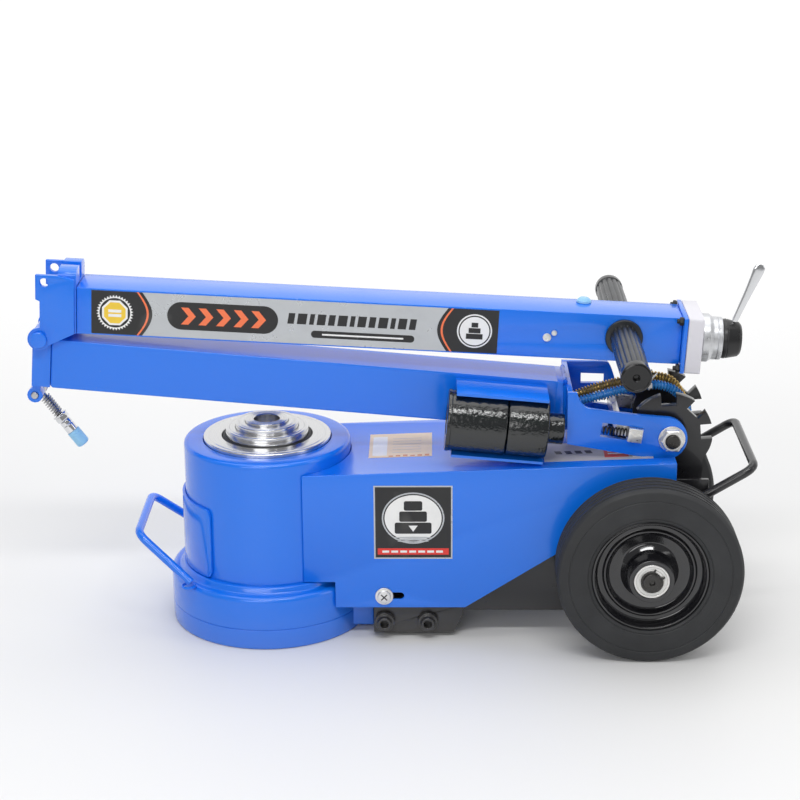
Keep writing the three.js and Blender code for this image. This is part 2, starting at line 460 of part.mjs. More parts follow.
add(pivot, 'pivot_nut', cut(
  join(hexY(13.5, -CHEEK_Y - CHEEK_T - 8, -CHEEK_Y - CHEEK_T - 1.4, 0, 0),
    barY(11, -CHEEK_Y - CHEEK_T - 11, -CHEEK_Y - CHEEK_T - 7, 0, 0, 16),
    barY(14.5, -CHEEK_Y - CHEEK_T - 1.6, -CHEEK_Y - CHEEK_T - GAP, 0, 0, 16)),
  barY(PIVOT_R + GAP, -CHEEK_Y - CHEEK_T - 13, -CHEEK_Y - CHEEK_T, 0, 0, 20),
), 'zinc');

// Lock yoke: a square end in each cheek's slot, joined by a bar set back from the sector's teeth.
const SPRING_R = 4.3, SPRING_WIRE = 0.9;
const YOKE_END = CHEEK_Y + CHEEK_T + 6, YOKE_BACK = 15, YOKE_IN = CHEEK_Y - 4.5;
add(pivot, 'lock_yoke', join(
  ...bothSides.map(([, s]) => lockBox(-LOCK_HALF, LOCK_HALF, ...span(s, YOKE_IN, YOKE_END), LOCK_SIZE)),
  ...bothSides.map(([, s]) => lockBox(0, YOKE_BACK + 5, ...span(s, YOKE_IN, CHEEK_Y - RUN), 12)),
  lockBox(YOKE_BACK - 2, YOKE_BACK + 5, -CHEEK_Y + RUN, CHEEK_Y - RUN, 12),
), 'zinc');
bothSides.forEach(([side, s]) => {
  const length = LOCK_TRAVEL - GAP;
  const coil = new THREE.Group();
  coil.position.set(LOCK_DX + (LOCK_HALF + GAP) * lockAxis.x, s * (CHEEK_Y + SPRING_R + SPRING_WIRE),
    LOCK_DZ + (LOCK_HALF + GAP) * lockAxis.y);
  coil.rotation.y = rad(LOCK_TILT + 180);
  pivot.add(coil);
  add(coil, `lock_spring_${side}`, spring(length, SPRING_R, SPRING_WIRE, 6), 'steel');
});

// ---------------------------------------------------------------- latch bolt
const latch = new THREE.Group();
latch.position.set(LATCH_DX, 0, LATCH_DZ);
latch.rotation.y = rad(LATCH_ANGLE - LOWER_TILT);
lower.add(latch);
const STUD_R = 3.5, LATCH_NUT = 38;
add(latch, 'latch_bolt', cut(
  join(barY(8.2, -EYE_HALF, EYE_HALF, 0, 0, 16), barX(STUD_R, 5, LATCH_L - 12, 0, 0, 12)),
  barY(4 + RUN, -9, 9, 0, 0, 14),
), 'steel');
const alongStud = (x0, x1, r, n) => cut(
  barX(r, x0, x1, 0, 0, n), barX(STUD_R + RUN, x0 - 1, x1 + 1, 0, 0, 12),
);
add(latch, 'latch_nut', join(
  alongStud(LATCH_NUT, LATCH_NUT + 7, 8, 6), alongStud(LATCH_NUT - 2, LATCH_NUT + 0.5, 8.6, 16),
), 'chrome');
const latchCoil = new THREE.Group();
latchCoil.position.x = 11;
latch.add(latchCoil);
add(latchCoil, 'latch_spring', spring(LATCH_NUT - 2 - 11 - GAP, STUD_R + 2, 0.9, 6), 'steel');
add(latch, 'latch_sleeve', cut(
  join(barX(7, LATCH_NUT + 7 + GAP, 60, 0, 0, 14), barX(7.6, 59.8, LATCH_L - 2, 0, 0, 14),
    barX(7.6, LATCH_L - 2.2, LATCH_L, 0, 0, 20, 5.5)),
  barX(STUD_R + RUN, LATCH_NUT, LATCH_L - 11, 0, 0, 12),
), 'cap');

// ---------------------------------------------------------------- adapters and their holder
// A channel on the lower arm's side, open to the left, with the two adapters nested end to end.
const ARM_SIDE = -halfW - GAP, HOLDER_Y = ARM_SIDE - HOLDER_REACH;
const ADAPTER_Y = ARM_SIDE - HOLDER_T - 1 - ADAPTER_R;
const HOLDER_U0 = ADAPTER_U0 + 8, HOLDER_U1 = ADAPTER_U0 + ADAPTER_LONG_L + ADAPTER_SHORT_L - 2;
const HOLDER_TOP = ADAPTER_V + ADAPTER_R + HOLDER_PLAY, HOLDER_FLOOR = HOLDER_BOTTOM + HOLDER_T;
add(lower, 'adapter_holder', join(
  box(HOLDER_U0, HOLDER_U1, HOLDER_Y, ARM_SIDE, HOLDER_TOP, HOLDER_TOP + HOLDER_T),
  box(HOLDER_U0, HOLDER_U1, HOLDER_Y, ARM_SIDE, HOLDER_FLOOR - HOLDER_T, HOLDER_FLOOR),
  box(HOLDER_U0, HOLDER_U1, ARM_SIDE - HOLDER_T, ARM_SIDE, HOLDER_FLOOR - HOLDER_T, HOLDER_TOP + HOLDER_T),
), 'blue');
const SOCKET_R = ADAPTER_PEG_R + 1, SOCKET_DEPTH = 21;
function adapter(name, u, points) {
  const piece = new THREE.Group();
  piece.position.set(u, ADAPTER_Y, ADAPTER_V);
  lower.add(piece);
  add(piece, name, latheX(points, 36), 'black');
}
adapter('adapter_long', ADAPTER_U0, [
  [0, SOCKET_DEPTH], [SOCKET_R, SOCKET_DEPTH], [SOCKET_R, 0], [ADAPTER_FLANGE_R, 0], [ADAPTER_FLANGE_R, 5],
  [ADAPTER_R, 5], [ADAPTER_R, ADAPTER_LONG_L - 1 - GAP], [ADAPTER_R - 1, ADAPTER_LONG_L - GAP],
  [SOCKET_R, ADAPTER_LONG_L - GAP], [SOCKET_R, ADAPTER_LONG_L - SOCKET_DEPTH],
  [0, ADAPTER_LONG_L - SOCKET_DEPTH],
]);
adapter('adapter_short', ADAPTER_U0 + ADAPTER_LONG_L, [
  [0, 5 - SOCKET_DEPTH], [ADAPTER_PEG_R, 5 - SOCKET_DEPTH], [ADAPTER_PEG_R, 0], [ADAPTER_R - 1, 0],
  [ADAPTER_R, 1], [ADAPTER_R, ADAPTER_SHORT_L - 1], [ADAPTER_R - 1, ADAPTER_SHORT_L],
  [ADAPTER_PEG_R, ADAPTER_SHORT_L], [ADAPTER_PEG_R, ADAPTER_SHORT_L + ADAPTER_PEG_L],
  [0, ADAPTER_SHORT_L + ADAPTER_PEG_L],
]);

// ---------------------------------------------------------------- upper handle
const upper = new THREE.Group();
upper.position.set(FOLD_X, 0, FOLD_Z);
upper.rotation.y = rad(UPPER_TILT);
jack.add(upper);
const upperHalf = UPPER_W / 2;
add(upper, 'upper_arm', cut(
  box(UPPER_U0, UPPER_U1, -upperHalf, upperHalf, UPPER_BOTTOM, UPPER_BOTTOM + UPPER_H),
  box(UPPER_U0 - 1, UPPER_U1 + 1, -upperHalf + TUBE_WALL, upperHalf - TUBE_WALL,
    UPPER_BOTTOM + TUBE_WALL, UPPER_BOTTOM + UPPER_H - TUBE_WALL),
  barY(TBAR_R + GAP, -40, 40, GRIP_U, GRIP_V, 16),
), 'blue');
// Hinge bracket: a post with a round top, and two lugs that straddle the lower arm's leaf.
const POST_U0 = 20, POST_TOP = 78, POST_ROUND = 8, LUG_ROUND = 12.5, LUG_EDGE = -3.5;
function lugShape() {
  const shape = new THREE.Shape();
  const top = rad(110), end = rad(330);
  shape.moveTo(UPPER_U0 - 2, UPPER_BOTTOM + 1);
  shape.lineTo(UPPER_U0 - 2, POST_TOP - 10);
  shape.lineTo(POST_U0, POST_TOP - 6);
  shape.lineTo(LUG_EDGE, POST_TOP - 6);
  shape.lineTo(LUG_EDGE, 45);
  shape.lineTo(1, 43);
  shape.lineTo(1, LUG_ROUND + 1);
  shape.lineTo(LUG_ROUND * Math.cos(top), LUG_ROUND * Math.sin(top));
  shape.absarc(0, 0, LUG_ROUND, top, end, false);
  return shape;
}
const lugs = bothSides.map(([, s]) => {
  const [y0, y1] = span(s, LUG_Y, LUG_Y + LUG_T);
  return cut(
    plateY(lugShape(), y0, y1, 14), barY(FOLD_PIN_R + RUN, y0 - 1, y1 + 1, 0, 0, 20),
    barY(5, y0 - 1, y1 + 1, 6, POST_TOP - 14, 14),
  );
});
const postCorners = bothSides.map(([, s]) => barX(
  POST_ROUND, POST_U0, UPPER_U0 - GAP, s * (LUG_Y + 0.2 - POST_ROUND), POST_TOP - POST_ROUND, 24,
));
// The slot in the post's top takes the latch bolt when the arms are in line.
const LATCH_SLOT_HALF = 6.5, LATCH_SLOT_FLOOR = 61;
add(upper, 'hinge_bracket', cut(
  join(
    box(POST_U0, UPPER_U0 - GAP, -LUG_Y - 0.2, LUG_Y + 0.2, UPPER_BOTTOM, POST_TOP - POST_ROUND),
    box(POST_U0, UPPER_U0 - GAP, -LUG_Y + POST_ROUND, LUG_Y - POST_ROUND, POST_TOP - 20, POST_TOP),
    ...postCorners, ...lugs,
  ),
  box(POST_U0 - 1, UPPER_U0, -LATCH_SLOT_HALF, LATCH_SLOT_HALF, LATCH_SLOT_FLOOR, POST_TOP + 1),
), 'blue');

// Cross bar with two grips.
add(upper, 'grip_bar', barY(TBAR_R, -TBAR_HALF, TBAR_HALF, GRIP_U, GRIP_V, 20), 'steel');
const FLUTES = 12;
bothSides.forEach(([side, s]) => {
  const [y0, y1] = span(s, GRIP_START, TBAR_HALF - 2);
  const fluted = new THREE.Shape();
  for (let i = 0; i < FLUTES * 4; i += 1) {
    const a = (2 * Math.PI * i) / (FLUTES * 4);
    const r = i % 4 < 2 ? GRIP_R : GRIP_R - 1.3;
    const p = [GRIP_U + r * Math.cos(a), GRIP_V + r * Math.sin(a)];
    if (i) fluted.lineTo(...p); else fluted.moveTo(...p);
  }
  const flange = barY(GRIP_R + 4, ...span(s, GRIP_START - 2.4, GRIP_START + 3), GRIP_U, GRIP_V, 20);
  const cap = barY(GRIP_R, ...span(s, TBAR_HALF - 3, TBAR_HALF + 5), GRIP_U, GRIP_V, 20);
  add(upper, `grip_${side}`, cut(
    join(plateY(fluted, y0, y1), flange, cap),
    barY(TBAR_R + GAP, -TBAR_HALF - GAP, TBAR_HALF + GAP, GRIP_U, GRIP_V, 20),
    barY(3, ...span(s, TBAR_HALF - 1, TBAR_HALF + 9), GRIP_U, GRIP_V, 12),
  ), 'grip');
});

// Valve: flange on the arm, block, body, and the knob that turns.
const plateHalf = VALVE_PLATE / 2;
const FLANGE_U = UPPER_U1 + GAP, BLOCK_U = FLANGE_U + FLANGE_T + GAP;
const BODY_U = BLOCK_U + VALVE_BLOCK_T + GAP;
const FLANGE_V0 = VALVE_V - VALVE_H / 2, FLANGE_V1 = VALVE_V + VALVE_H / 2;
add(upper, 'end_flange', box(
  FLANGE_U, FLANGE_U + FLANGE_T, -plateHalf, plateHalf, FLANGE_V0, FLANGE_V1,
), 'blue');
add(upper, 'valve_block', box(
  BLOCK_U, BLOCK_U + VALVE_BLOCK_T, -plateHalf, plateHalf, FLANGE_V0, FLANGE_V1,
), 'aluminium');
const bodyEnd = BODY_U + VALVE_BODY_L;
const STEM_R = 8, STEM_L = 15, BODY_R = 24, BODY_BULGE = 26.5;
function turnedOnArm(name, points, look, n = 28) {
  const piece = new THREE.Group();
  piece.position.z = VALVE_V;
  upper.add(piece);
  add(piece, name, latheX(points, n), look);
}
turnedOnArm('valve_body', [
  [0, BODY_U], [BODY_R, BODY_U], [BODY_BULGE, BODY_U + 2], [BODY_BULGE, BODY_U + 9],
  [BODY_R, BODY_U + 13], [BODY_R, bodyEnd - 1], [BODY_R - 1, bodyEnd], [STEM_R + RUN, bodyEnd],
  [STEM_R + RUN, bodyEnd - STEM_L - 1], [0, bodyEnd - STEM_L - 1],
], 'aluminium');
const KNOB_U = bodyEnd + GAP;
turnedOnArm('valve_knob', [
  [0, bodyEnd - STEM_L], [STEM_R, bodyEnd - STEM_L], [STEM_R, KNOB_U], [KNOB_R - 0.5, KNOB_U],
  [KNOB_R, KNOB_U + 4], [KNOB_R - 3, KNOB_U + KNOB_L - 3], [KNOB_R - 6, KNOB_U + KNOB_L],
  [0, KNOB_U + KNOB_L],
], 'black');
// Lever on the knob's rim, leaning outwards.
const lever = new THREE.Group();
lever.position.set(KNOB_U + 13, 0, VALVE_V + KNOB_R + 0.2);
lever.rotation.y = rad(18);
upper.add(lever);
add(lever, 'valve_lever', plateY([
  [-3.2, 0], [3.2, 0], [4, 26], [7.5, 58], [5, 68], [-1.5, 68], [-5.5, 60], [-3.8, 26],
], -2.5, 2.5), 'chrome');

// ---------------------------------------------------------------- hoses over the pivot
const HOSE_R = 5.5;
const hose = (name, y, lift, look) => {
  const start = PIVOT_X + WEB_DX + WEB_T + 3;
  const curve = new THREE.CatmullRomCurve3([
    [start, y, PIVOT_Z + 25 + lift / 3], [start + 22, y, PIVOT_Z + 33 + lift],
    [PIVOT_X - 50, y, PIVOT_Z + 42 + lift], [PIVOT_X - 20, y, PIVOT_Z + 48 + lift],
    [PIVOT_X + 4, y, PIVOT_Z + 43 + lift], [HOSE_BLOCK_X - 6, y, PIVOT_Z + 25],
    [HOSE_BLOCK_X, y, PIVOT_Z + 4], [HOSE_BLOCK_X, y, HOSE_BLOCK_TOP + GAP],
  ].map((p) => new THREE.Vector3(...p)));
  add(jack, name, tube(curve, HOSE_R, 20, 8), look);
};
hose('hose_left', -9, -3, 'hose_blue');
hose('hose_right', 9, 1, 'hose_bronze');

export default jack;
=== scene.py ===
"""Looks of an air-hydraulic truck jack: fine meshes, labels, materials, studio light and camera."""

import json
from math import atan2, copysign, cos, pi, radians, sin, sqrt, tan, tau

import bmesh
import bpy
from mathutils import Matrix, Vector


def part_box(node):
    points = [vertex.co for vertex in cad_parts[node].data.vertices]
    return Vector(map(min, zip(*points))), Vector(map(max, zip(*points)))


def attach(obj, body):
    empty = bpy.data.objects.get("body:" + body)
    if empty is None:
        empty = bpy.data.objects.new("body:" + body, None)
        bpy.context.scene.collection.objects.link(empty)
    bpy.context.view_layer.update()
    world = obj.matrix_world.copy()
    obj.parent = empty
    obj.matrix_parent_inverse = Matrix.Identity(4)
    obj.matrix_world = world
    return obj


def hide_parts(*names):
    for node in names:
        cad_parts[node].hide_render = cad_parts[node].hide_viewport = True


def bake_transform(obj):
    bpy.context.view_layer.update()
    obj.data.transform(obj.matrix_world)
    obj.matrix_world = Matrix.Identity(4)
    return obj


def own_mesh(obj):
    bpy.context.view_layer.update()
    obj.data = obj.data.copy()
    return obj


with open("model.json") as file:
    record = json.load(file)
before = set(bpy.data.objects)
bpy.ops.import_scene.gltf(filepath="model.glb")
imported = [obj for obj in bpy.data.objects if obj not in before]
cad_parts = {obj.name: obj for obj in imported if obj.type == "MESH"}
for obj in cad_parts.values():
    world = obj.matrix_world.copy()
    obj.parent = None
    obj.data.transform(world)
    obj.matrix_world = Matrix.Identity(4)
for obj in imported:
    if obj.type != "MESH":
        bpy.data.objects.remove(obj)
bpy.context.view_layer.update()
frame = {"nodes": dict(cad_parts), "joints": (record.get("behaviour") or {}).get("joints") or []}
NODES = frame["nodes"]
JOINTS = {j["name"]: j for j in frame["joints"]}
SCENE = bpy.context.scene
MM = 0.001


def at(x, y, z):
    return Matrix.Translation((x, y, z))


def put(node, values):
    """Sets constants on a node's input sockets."""
    for key, value in values.items():
        node.inputs[key].default_value = value


# --- camera, light and floor
CAMERA_AT = Vector((185.06, -2093.64, 966.24)) * MM
CAMERA_AZIMUTH, CAMERA_ELEVATION, CAMERA_ROLL = (radians(a) for a in (1.0, 18.85, -0.43))
CAMERA_LENS, CAMERA_SENSOR = 89.79, 36.0


def make_camera():
    back = Vector((
        sin(CAMERA_AZIMUTH) * cos(CAMERA_ELEVATION),
        -cos(CAMERA_AZIMUTH) * cos(CAMERA_ELEVATION),
        sin(CAMERA_ELEVATION),
    ))
    right = Vector((cos(CAMERA_AZIMUTH), sin(CAMERA_AZIMUTH), 0))
    up = back.cross(right)
    rolled = right * cos(CAMERA_ROLL) + up * sin(CAMERA_ROLL)
    rolled_up = up * cos(CAMERA_ROLL) - right * sin(CAMERA_ROLL)
    data = bpy.data.cameras.new("camera")
    data.lens, data.sensor_width = CAMERA_LENS, CAMERA_SENSOR
    data.clip_end = 50
    camera = bpy.data.objects.new("camera", data)
    SCENE.collection.objects.link(camera)
    turn = Matrix((rolled, rolled_up, back)).transposed().to_4x4()
    camera.matrix_world = Matrix.Translation(CAMERA_AT) @ turn
    SCENE.camera = camera


def make_light(name, at, target, size, power, colour=(1, 1, 1)):
    data = bpy.data.lights.new(name, "AREA")
    data.shape, data.size, data.size_y = "RECTANGLE", size[0], size[1]
    data.energy, data.color = power, colour
    light = bpy.data.objects.new(name, data)
    light.location = at
    light.rotation_euler = (Vector(target) - Vector(at)).to_track_quat("-Z", "Y").to_euler()
    SCENE.collection.objects.link(light)


def make_stage():
    world = bpy.data.worlds.new("studio")
    SCENE.world = world
    world.use_nodes = True
    # Bright behind the object and dim in front of it, so that black paint stays black.
    shell = world.node_tree
    direction = shell.nodes.new("ShaderNodeTexCoord")
    split = shell.nodes.new("ShaderNodeSeparateXYZ")
    glow = shell.nodes.new("ShaderNodeMapRange")
    put(glow, {"From Min": -0.3, "From Max": 0.6, "To Min": 0.3, "To Max": 1.0})
    shell.links.new(direction.outputs["Generated"], split.inputs["Vector"])
    shell.links.new(split.outputs["Y"], glow.inputs["Value"])
    shell.links.new(glow.outputs["Result"], shell.nodes["Background"].inputs["Strength"])
    put(shell.nodes["Background"], {"Color": (1, 1, 1, 1)})
    make_light("top_softbox", (0.1, 0.2, 2.3), (0.15, 0, 0.1), (2.8, 1.9), 22)
    make_light("front_softbox", (-0.7, -2.9, 1.5), (0.1, 0, 0.2), (1.9, 1.1), 20.5)
    make_light("key_strip", (0.2, -1.35, 2.15), (0.15, 0, 0.2), (1.6, 0.22), 19)
    make_light("right_strip", (2.2, -0.8, 1.0), (0.3, 0, 0.2), (0.5, 1.4), 4)
    bpy.ops.mesh.primitive_plane_add(size=14, location=(0, 0, -0.0002))
    floor = bpy.context.object
    floor.name = "floor"
    floor.data.materials.append(backdrop_paper())


# --- materials
class Graph:
    """A small helper that builds one procedural material around a Principled shader."""

    def __init__(self, name, colour, roughness, metallic=0.0):
        self.mat = bpy.data.materials.new(name)
        self.mat.use_nodes = True
        self.tree = self.mat.node_tree
        self.shader = self.tree.nodes["Principled BSDF"]
        put(self.shader, {"Base Color": (*colour, 1), "Roughness": roughness, "Metallic": metallic})
        self.coords = self.node("ShaderNodeTexCoord").outputs["Object"]
        self.colour = (*colour, 1)
        self.height = None

    def node(self, kind, **settings):
        node = self.tree.nodes.new(kind)
        for key, value in settings.items():
            setattr(node, key, value)
        return node

    def link(self, a, b):
        self.tree.links.new(a, b)

    def noise(self, scale, detail=4, stretch=None, distortion=0.0):
        node = self.node("ShaderNodeTexNoise")
        put(node, {"Scale": scale, "Detail": detail, "Distortion": distortion})
        source = self.coords
        if stretch:
            mapping = self.node("ShaderNodeMapping")
            put(mapping, {"Scale": stretch})
            self.link(source, mapping.inputs["Vector"])
            source = mapping.outputs["Vector"]
        self.link(source, node.inputs["Vector"])
        return node.outputs["Fac"]

    def rings(self, scale):
        """Fine grooves round the object's own Z axis, as a lathe leaves them."""
        flat = self.node("ShaderNodeVectorMath", operation="MULTIPLY")
        flat.inputs[1].default_value = (1, 1, 0)
        radius = self.node("ShaderNodeVectorMath", operation="LENGTH")
        noise = self.node("ShaderNodeTexNoise", noise_dimensions="1D")
        put(noise, {"Scale": scale})
        self.link(self.coords, flat.inputs[0])
        self.link(flat.outputs["Vector"], radius.inputs[0])
        self.link(radius.outputs["Value"], noise.inputs["W"])
        return noise.outputs["Fac"]

    def ramp(self, source, low, high, from_value=0.0, to_value=1.0):
        node = self.node("ShaderNodeMapRange")
        put(node, {"From Min": low, "From Max": high, "To Min": from_value, "To Max": to_value})
        self.link(source, node.inputs["Value"])
        return node.outputs["Result"]

    def tint(self, factor, colour):
        """Mixes another colour over what the base colour is so far."""
        mix = self.node("ShaderNodeMix", data_type="RGBA")
        base = self.shader.inputs["Base Color"]
        if base.is_linked:
            self.link(base.links[0].from_socket, mix.inputs["A"])
        else:
            put(mix, {"A": self.colour})
        put(mix, {"B": (*colour, 1)})
        self.link(factor, mix.inputs["Factor"])
        self.link(mix.outputs["Result"], base)

    def roughen(self, factor, low, high):
        self.link(self.ramp(factor, 0.3, 0.7, low, high), self.shader.inputs["Roughness"])

    def bump(self, source, strength, distance=0.001):
        node = self.node("ShaderNodeBump")
        put(node, {"Strength": strength, "Distance": distance})
        if self.height:
            self.link(self.height, node.inputs["Normal"])
        self.link(source, node.inputs["Height"])
        self.height = node.outputs["Normal"]
        self.link(self.height, self.shader.inputs["Normal"])

    def coat(self, weight, roughness):
        put(self.shader, {"Coat Weight": weight, "Coat Roughness": roughness})


def shade(colour, factor):
    return tuple(min(1.0, c * factor) for c in colour)


def paint(name, colour, roughness, peel, chip_colour, coat=0.6):
    """Sprayed enamel: orange peel, faint clouding, a few tiny chips and a dusty film near the ground."""
    g = Graph(name, colour, roughness)
    g.tint(g.ramp(g.noise(7, 3), 0.35, 0.75, 0.0, 0.12), shade(colour, 0.85))
    g.tint(g.ramp(g.noise(42, 5, distortion=0.4), 0.62, 0.8, 0.0, 0.04), shade(colour, 1.3))
    g.tint(g.ramp(g.noise(520, 2), 0.82, 0.83), chip_colour)
    dust = g.node("ShaderNodeSeparateXYZ")
    g.link(g.coords, dust.inputs["Vector"])
    g.tint(g.ramp(dust.outputs["Z"], 0.0, 0.05, 0.1, 0.0), (0.42, 0.4, 0.37))
    g.roughen(g.noise(24, 6), roughness * 0.88, roughness * 1.15)
    g.bump(g.noise(420, 2), peel, 0.0004)
    g.bump(g.noise(60, 3), peel * 0.3, 0.001)
    g.coat(coat, 0.07)
    return g.mat


def metal(name, colour, roughness, stretch, scratch, stain=(0.32, 0.3, 0.27), turned=False):
    """Machined or plated metal: drawn grain, light scratches and slight staining."""
    g = Graph(name, colour, roughness, 1.0)
    grain = g.rings(900) if turned else g.noise(300, 3, stretch)
    g.tint(g.ramp(g.noise(18, 5), 0.58, 0.8, 0.0, 0.35), stain)
    g.roughen(grain, roughness * 0.7, roughness * 1.5)
    g.bump(grain, scratch, 0.0003)
    return g.mat


def rubber(name, colour, roughness, bump):
    """Moulded rubber: matt, with dusty patches and a fine pebbled skin."""
    g = Graph(name, colour, roughness)
    g.tint(g.ramp(g.noise(16, 6, distortion=0.8), 0.45, 0.8, 0.0, 0.5), shade(colour, 1.7))
    g.tint(g.ramp(g.noise(160, 3), 0.7, 0.85, 0.0, 0.2), (0.1, 0.098, 0.095))
    g.roughen(g.noise(30, 5), roughness * 0.85, min(1, roughness * 1.15))
    g.bump(g.noise(650, 2), bump, 0.0005)
    return g.mat


def cast_black(name):
    """Black enamel over a rough casting, as on the adapters: lumpy and glossy."""
    g = Graph(name, (0.004, 0.006, 0.007), 0.2)
    g.tint(g.ramp(g.noise(26, 4), 0.55, 0.8, 0.0, 0.3), (0.01, 0.012, 0.014))
    g.roughen(g.noise(40, 5), 0.1, 0.17)
    g.bump(g.noise(230, 3), 0.38, 0.0018)
    put(g.shader, {"Specular IOR Level": 0.85})
    return g.mat


def plastic(name, colour, roughness, bump=0.08):
    g = Graph(name, colour, roughness)
    g.tint(g.ramp(g.noise(30, 5), 0.5, 0.8, 0.0, 0.3), shade(colour, 0.6))
    g.roughen(g.noise(50, 4), roughness * 0.8, roughness * 1.3)
    g.bump(g.noise(500, 2), bump, 0.0004)
    return g.mat


def label_ink(name, colour, roughness=0.35, metallic=0.0):
    """Printed film: nearly flat colour with print mottle and a soft satin skin."""
    g = Graph(name, colour, roughness, metallic)
    g.tint(g.ramp(g.noise(90, 6), 0.5, 0.85, 0.0, 0.25), shade(colour, 0.75))
    g.tint(g.ramp(g.noise(12, 3), 0.6, 0.8, 0.0, 0.2), (0.5, 0.49, 0.46))
    g.roughen(g.noise(40, 4), roughness * 0.8, roughness * 1.3)
    g.bump(g.noise(380, 3), 0.05, 0.0003)
    return g.mat


def backdrop_paper():
    """Pale paper that glows softly far behind the object, as a lit backdrop does."""
    g = Graph("backdrop_paper", (0.79, 0.79, 0.788), 0.55)
    g.tint(g.ramp(g.noise(1.4, 4), 0.4, 0.8, 0.0, 0.25), (0.74, 0.735, 0.73))
    g.bump(g.noise(200, 2), 0.03, 0.0005)
    split = g.node("ShaderNodeSeparateXYZ")
    g.link(g.coords, split.inputs["Vector"])
    g.link(g.ramp(split.outputs["Y"], 0.3, 2.2, 0.0, 0.5), g.shader.inputs["Emission Strength"])
    put(g.shader, {"Emission Color": (1, 1, 1, 1)})
    return g.mat


BLUE = (0.004, 0.172, 0.82)
BLACK = (0.011, 0.011, 0.013)
MAT = {
    "blue": paint("blue_enamel", BLUE, 0.23, 0.06, (0.3, 0.3, 0.3), 0.45),
    "black": paint("black_enamel", BLACK, 0.3, 0.12, (0.09, 0.085, 0.08), 0.4),
    "rim": paint("rim_gloss_black", (0.006, 0.006, 0.008), 0.14, 0.06, (0.06, 0.06, 0.06), 0.8),
    "cast": cast_black("cast_black"),
    "chrome": metal("polished_chrome", (0.74, 0.75, 0.77), 0.11, (1, 1, 6), 0.03),
    "ground": metal("ground_steel", (0.72, 0.72, 0.725), 0.2, (1, 1, 8), 0.08, (0.5, 0.49, 0.47), True),
    "steel": metal("turned_steel", (0.5, 0.5, 0.51), 0.27, (1, 1, 9), 0.10),
    "dark_steel": metal("oiled_steel", (0.07, 0.068, 0.066), 0.3, (1, 6, 1), 0.12, (0.05, 0.045, 0.04)),
    "zinc": metal("bright_zinc", (0.82, 0.81, 0.79), 0.34, (1, 1, 2), 0.06, (0.62, 0.58, 0.48)),
    "alloy": metal("cast_alloy", (0.66, 0.67, 0.69), 0.36, (1, 1, 1), 0.14),
    "satin_alloy": plastic("anodised_block", (0.7, 0.69, 0.74), 0.42, 0.04),
    "brass": metal("brass_wire", (0.62, 0.42, 0.12), 0.3, (1, 1, 1), 0.1),
    "tyre": rubber("tyre_rubber", (0.02, 0.021, 0.023), 0.6, 0.2),
    "grip": rubber("grip_rubber", (0.011, 0.013, 0.016), 0.3, 0.1),
    "grip_end": plastic("grip_end_cap", (0.007, 0.007, 0.008), 0.16, 0.03),
    "seal": rubber("seal_rubber", (0.012, 0.012, 0.012), 0.5, 0.1),
    "knob": plastic("black_knob", (0.012, 0.012, 0.013), 0.3),
    "cap": plastic("sky_cap", (0.28, 0.56, 0.82), 0.3),
    "hose_blue": plastic("blue_hose", (0.03, 0.24, 0.62), 0.28),
    "hose_bronze": plastic("bronze_hose", (0.34, 0.22, 0.06), 0.32),
    "tie": plastic("white_tie", (0.75, 0.75, 0.73), 0.4),
    "ink_black": label_ink("ink_black", (0.015, 0.015, 0.016)),
    "ink_silver": label_ink("ink_silver", (0.52, 0.54, 0.56), 0.3, 0.5),
    "ink_white": label_ink("ink_white", (0.85, 0.85, 0.84)),
    "ink_orange": label_ink("ink_orange", (0.9, 0.19, 0.07)),
    "ink_gold": label_ink("ink_gold", (0.85, 0.58, 0.05)),
    "ink_red": label_ink("ink_red", (0.75, 0.04, 0.03)),
    "ink_cream": label_ink("ink_cream", (0.84, 0.66, 0.47)),
    "ink_rust": label_ink("ink_rust", (0.62, 0.2, 0.09)),
    "ink_grey": label_ink("ink_grey", (0.5, 0.49, 0.5)),
}


# --- mesh helpers
SHARP_DEGREES, BEVEL_DEGREES = 35, 38
WELD_DISTANCE = 0.02 * MM
SAME_POINT, NO_AREA = 0.0005, 1e-7


def soft_shading():
    """A node group that shades smooth and keeps sharp edges sharp."""
    group = bpy.data.node_groups.new("soft_shading", "GeometryNodeTree")
    group.interface.new_socket("Geometry", in_out="INPUT", socket_type="NodeSocketGeometry")
    group.interface.new_socket("Geometry", in_out="OUTPUT", socket_type="NodeSocketGeometry")
    add = group.nodes.new
    start, end = add("NodeGroupInput"), add("NodeGroupOutput")
    plain = add("GeometryNodeRemoveAttribute")
    put(plain, {"Name": "custom_normal"})
    faces = add("GeometryNodeSetShadeSmooth")
    edges = add("GeometryNodeSetShadeSmooth")
    edges.domain = "EDGE"
    put(edges, {"Shade Smooth": False})
    angle, over = add("GeometryNodeInputMeshEdgeAngle"), add("FunctionNodeCompare")
    over.data_type, over.operation = "FLOAT", "GREATER_THAN"
    put(over, {"B": radians(SHARP_DEGREES)})
    link = group.links.new
    link(start.outputs["Geometry"], plain.inputs["Geometry"])
    link(plain.outputs["Geometry"], faces.inputs["Geometry"])
    link(faces.outputs["Geometry"], edges.inputs["Geometry"])
    link(angle.outputs["Unsigned Angle"], over.inputs["A"])
    link(over.outputs["Result"], edges.inputs["Selection"])
    link(edges.outputs["Geometry"], end.inputs["Geometry"])
    return group


SOFT = soft_shading()


def finish_mesh(obj, bevel=0.0, segments=3, weld=False):
    if weld:
        merge = obj.modifiers.new("weld", "WELD")
        merge.merge_threshold = WELD_DISTANCE
    if bevel:
        round_edges = obj.modifiers.new("bevel", "BEVEL")
        round_edges.width = bevel * MM
        round_edges.segments = segments
        round_edges.limit_method = "ANGLE"
        round_edges.angle_limit = radians(BEVEL_DEGREES)
        round_edges.use_clamp_overlap = True
    obj.modifiers.new("soft", "NODES").node_group = SOFT


